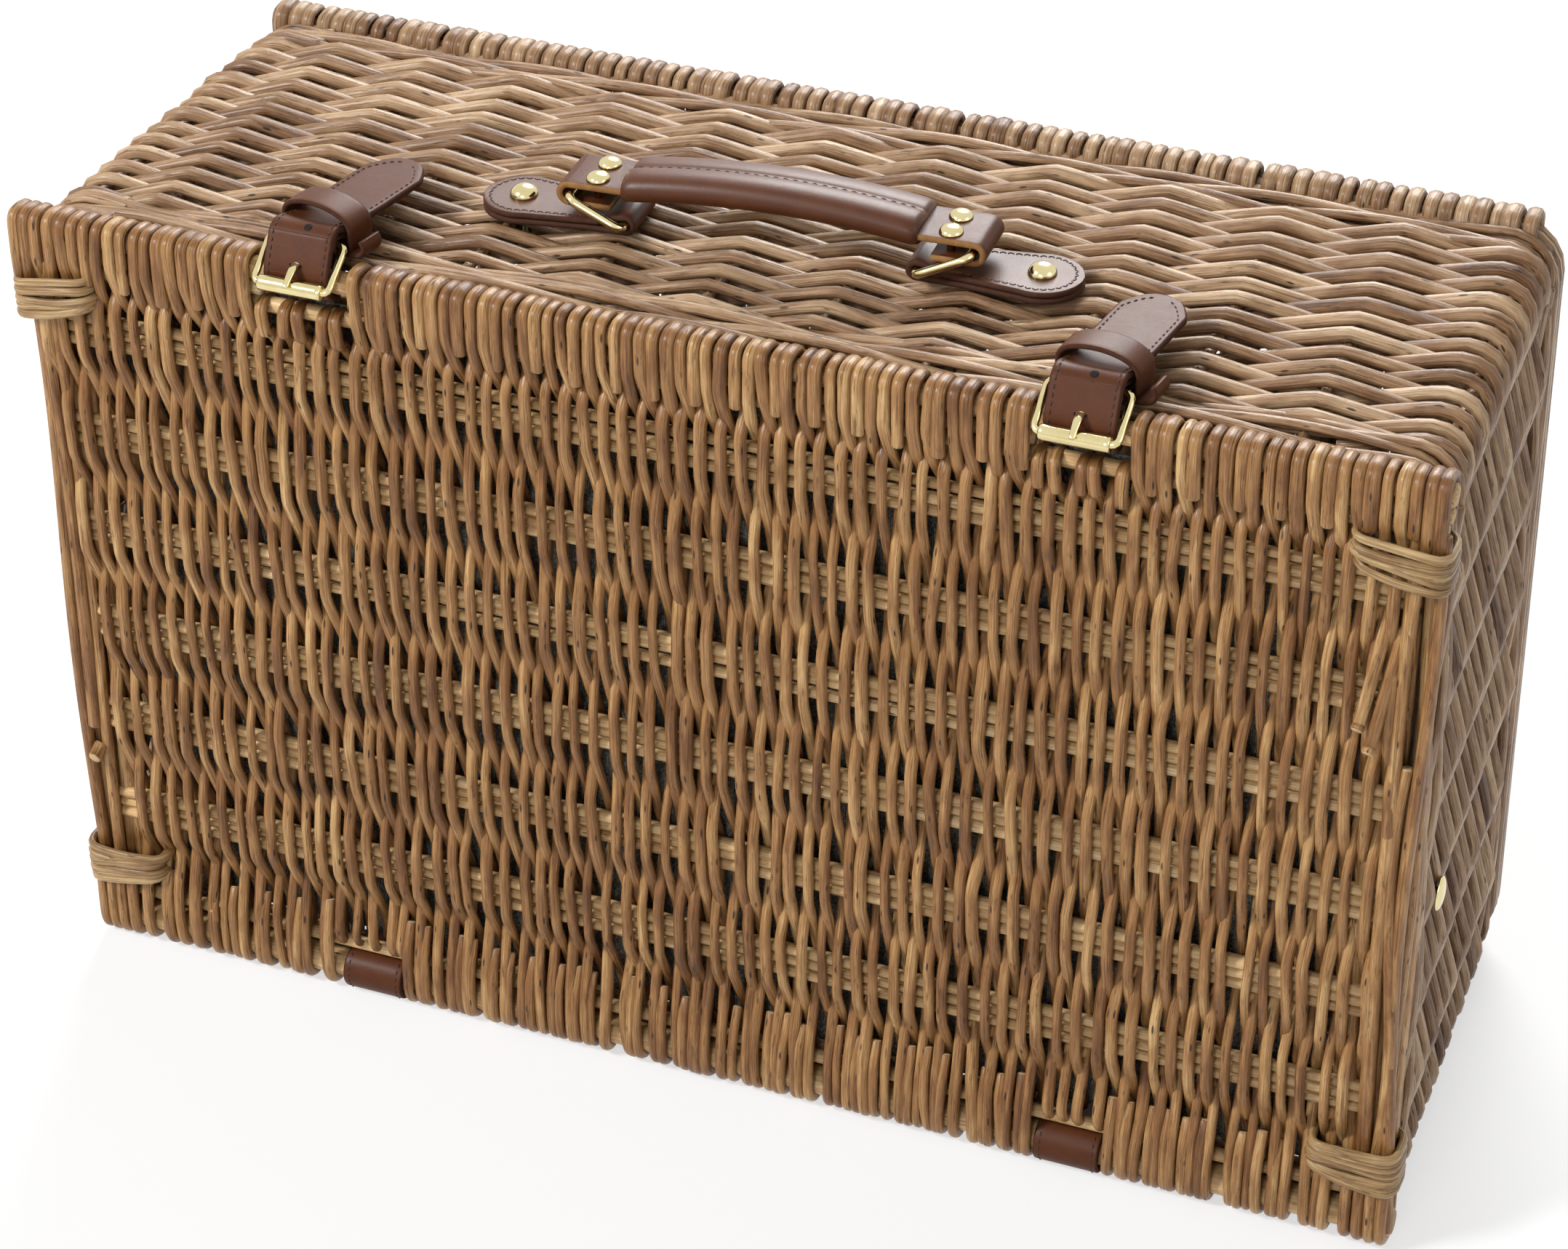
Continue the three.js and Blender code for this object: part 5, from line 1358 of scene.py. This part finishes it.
for name, x in STRAP_X.items():
    heel = np.array((x, HEEL_Y, HEEL_Z))
    loop = wire_loop(ROLLER_REACH, 13.85, 2.4)
    wire = heel + loop[:, :1] * DOWN + loop[:, 1:] * np.array(ACROSS_X)
    frame_wire = Rods()
    frame_wire.lay(wire, 1.3, OUT, 14, 1.0, 0.5, True)
    frame_wire.weave(f"frame_{name}_brass", f"frame_{name}", BRASS, (f"buckle_frame_{name}",), "brass")
    points, faces = turned(ROLLER, heel + ROLLER_REACH * DOWN, ACROSS_X)
    roller = f"roller_{name}"
    make_piece(f"{roller}_brass", points, faces, roller, BRASS, (f"buckle_{roller}",), "brass")
    prong = Rods()
    u = np.linspace(1.0, PRONG_TIP, 24)
    rise = np.interp(u, (0, 7, 10.2, 13.2, 18, PRONG_TIP), (2.3, 1.3, 1.6, 3.3, 3.75, 3.7))
    wide = np.interp(u, (0, 12, PRONG_TIP), (1.75, 1.6, 1.05))
    prong.lay(heel + u[:, None] * DOWN + rise[:, None] * OUT, wide, ACROSS_X, 12, 0.58, 0.5)
    eye = arc((0, 0), 2.3, 0, 340, 22)
    prong.lay([heel + d * DOWN + h * OUT for d, h in eye], 1.65, ACROSS_X, 10, 0.5, 0.5, True)
    prong.weave(f"prong_{name}_brass", f"prong_{name}", BRASS, (f"buckle_prong_{name}",), "brass")
    upright = 6.6 * np.array((0, math.cos(SPARE_HOLE), math.sin(SPARE_HOLE)))
    spare = (heel + upright + (1.8, 0, 0), upright, 1.45)
    used = (heel + 10.4 * DOWN + 2.1 * OUT, OUT - 0.6 * DOWN, 2.2)
    # each disc is painted shadow: its near-black finish stands in for the shade inside the hole
    for i, (at, axis, wide) in enumerate((spare, used)):
        points, faces = turned([(wide, -0.5), (wide, 0.05), (wide * 0.6, 0.06)], at, axis, 20)
        make_piece(f"strap_{name}_hole_{i}", points, faces, f"tongue_{name}", PAINTED_HOLE_SHADOW, (), "leather")

# %% [markdown]
# The rings between the handle's loops and its tabs are bent from a stouter wire. Each slopes up and
# outwards from a tab's curl to a loop, so it is drawn in the handle's frame like both of them.

# %% The handle's rings
for name, side in SIDES:
    loop = wire_loop(RING_REACH, 13.6, 3.2)
    out = side * (RING_BAR[0] + loop[:, 0] * math.cos(RING_LEAN))
    up = RING_BAR[1] + loop[:, 0] * math.sin(RING_LEAN)
    tilt = (-math.sin(RING_LEAN) * side, 0, math.cos(RING_LEAN))
    ring = Rods()
    ring.lay(on_handle(np.stack([out, loop[:, 1], up], 1)), 1.55, tilt, 14, 1.0, 0.5, True)
    ring.weave(f"ring_{name}_brass", f"hanger_{name}", BRASS, (f"ring_{name}",), "brass")

# %% [markdown]
# ## Floor, light and camera
#
# The basket stands on a plain pale floor in soft studio light: a key lamp above the front on the left,
# a broad lamp behind that puts a sheen on the top, two weak ones in front and on the right, and an even,
# dim world. What the camera sees behind the basket is white, and so is what the brass mirrors; a Light
# Path node gives that without any more light on the basket.

# %% The floor
def seen_directly(start):
    """1 for what the camera sees, in a mirror or through glass too, and 0 for light that is scattered."""
    kinds = ("Is Camera Ray", "Is Glossy Ray", "Is Transmission Ray")
    camera, glossy, through = [start.node("ShaderNodeLightPath", {}, {}, kind) for kind in kinds]
    return (camera + glossy + through).clamped()


def floor_finish():
    material = bpy.data.materials.new("pale_floor")
    material.use_nodes = True
    tree = material.node_tree
    tree.nodes.remove(tree.nodes["Principled BSDF"])
    start = Thread(tree)
    matt = start.node("ShaderNodeBsdfDiffuse", {}, {"Color": (0.9, 0.9, 0.9, 1)})
    white = start.node("ShaderNodeEmission", {}, {"Color": (1, 1, 1, 1), "Strength": 1.0})
    mixed = start.node("ShaderNodeMixShader", {}, {0: seen_directly(start) * 0.62, 1: matt, 2: white})
    tree.links.new(mixed.socket, tree.nodes["Material Output"].inputs["Surface"])
    return material


floor_mesh = bpy.data.meshes.new("floor")
floor_mesh.from_pydata([(-6, -6, 0), (6, -6, 0), (6, 6, 0), (-6, 6, 0)], [], [(0, 1, 2, 3)])
floor_mesh.materials.append(floor_finish())
floor = bpy.data.objects.new("floor", floor_mesh)
bpy.context.scene.collection.objects.link(floor)
print("floor:", floor.name, "with", floor_mesh.materials[0].name)

# %% [markdown]
# A small lamp would give hard shadows between the rods. The photograph's are soft, so each lamp is a wide
# disc that is turned to the basket. The world adds only a little, because an even light from all sides
# would fill the gaps of the weave and make it look flat.

# %% The light
def studio_world():
    world = bpy.data.worlds.new("studio")
    bpy.context.scene.world = world
    world.use_nodes = True
    tree = world.node_tree
    start = Thread(tree)
    background = tree.nodes["Background"]
    background.inputs["Color"].default_value = (1, 1, 1, 1)
    strength = 0.15 + seen_directly(start) * 0.85
    tree.links.new(strength.socket, background.inputs["Strength"])


def lamp(name, at, target, size, watts):
    data = bpy.data.lights.new(name, "AREA")
    data.shape = "DISK"
    data.size = size
    data.energy = watts
    lamp_object = bpy.data.objects.new(name, data)
    bpy.context.scene.collection.objects.link(lamp_object)
    away = unit(np.asarray(at, float) - np.asarray(target, float))
    right = unit(np.cross((0.0, 0.0, 1.0), away))
    upward = np.cross(away, right)
    matrix = Matrix((right, upward, away)).transposed().to_4x4()
    matrix.translation = at
    lamp_object.matrix_world = matrix
    return lamp_object


studio_world()
lamp("key_lamp", (-1.65, -1.6, 2.0), (0, 0, 0.15), 0.75, 80)
lamp("front_lamp", (0.15, -1.95, 1.15), (0, 0, 0.15), 0.7, 10.5)
lamp("rear_lamp", (-0.3, 1.9, 1.75), (0, 0, 0.25), 1.5, 86)
lamp("side_lamp", (1.6, -0.3, 1.0), (0, 0, 0.15), 1.0, 5)
bpy.context.scene.view_settings.view_transform = "Standard"

# %% [markdown]
# The camera's place was found by fitting the photograph's corners, rivets and hinges: it looks down on
# the lid's front from the right, with a long lens and a roll of one degree.

# %% The camera
camera_data = bpy.data.cameras.new("camera")
camera_data.lens = 94.3
camera_data.sensor_fit = "HORIZONTAL"
camera_data.sensor_width = 36
camera = bpy.data.objects.new("camera", camera_data)
bpy.context.scene.collection.objects.link(camera)
forward = unit((-0.3186, 0.7681, -0.5554))
level_right = unit(np.cross(forward, (0, 0, 1)))
level_down = np.cross(forward, level_right)
roll = math.radians(0.983)
right = math.cos(roll) * level_right + math.sin(roll) * level_down
down = -math.sin(roll) * level_right + math.cos(roll) * level_down
view = Matrix((right, -down, -forward)).transposed().to_4x4()
view.translation = place((464.6, -1041.6, 960.9))
camera.matrix_world = view
bpy.context.scene.camera = camera
print("camera at", [round(c, 3) for c in camera.location])
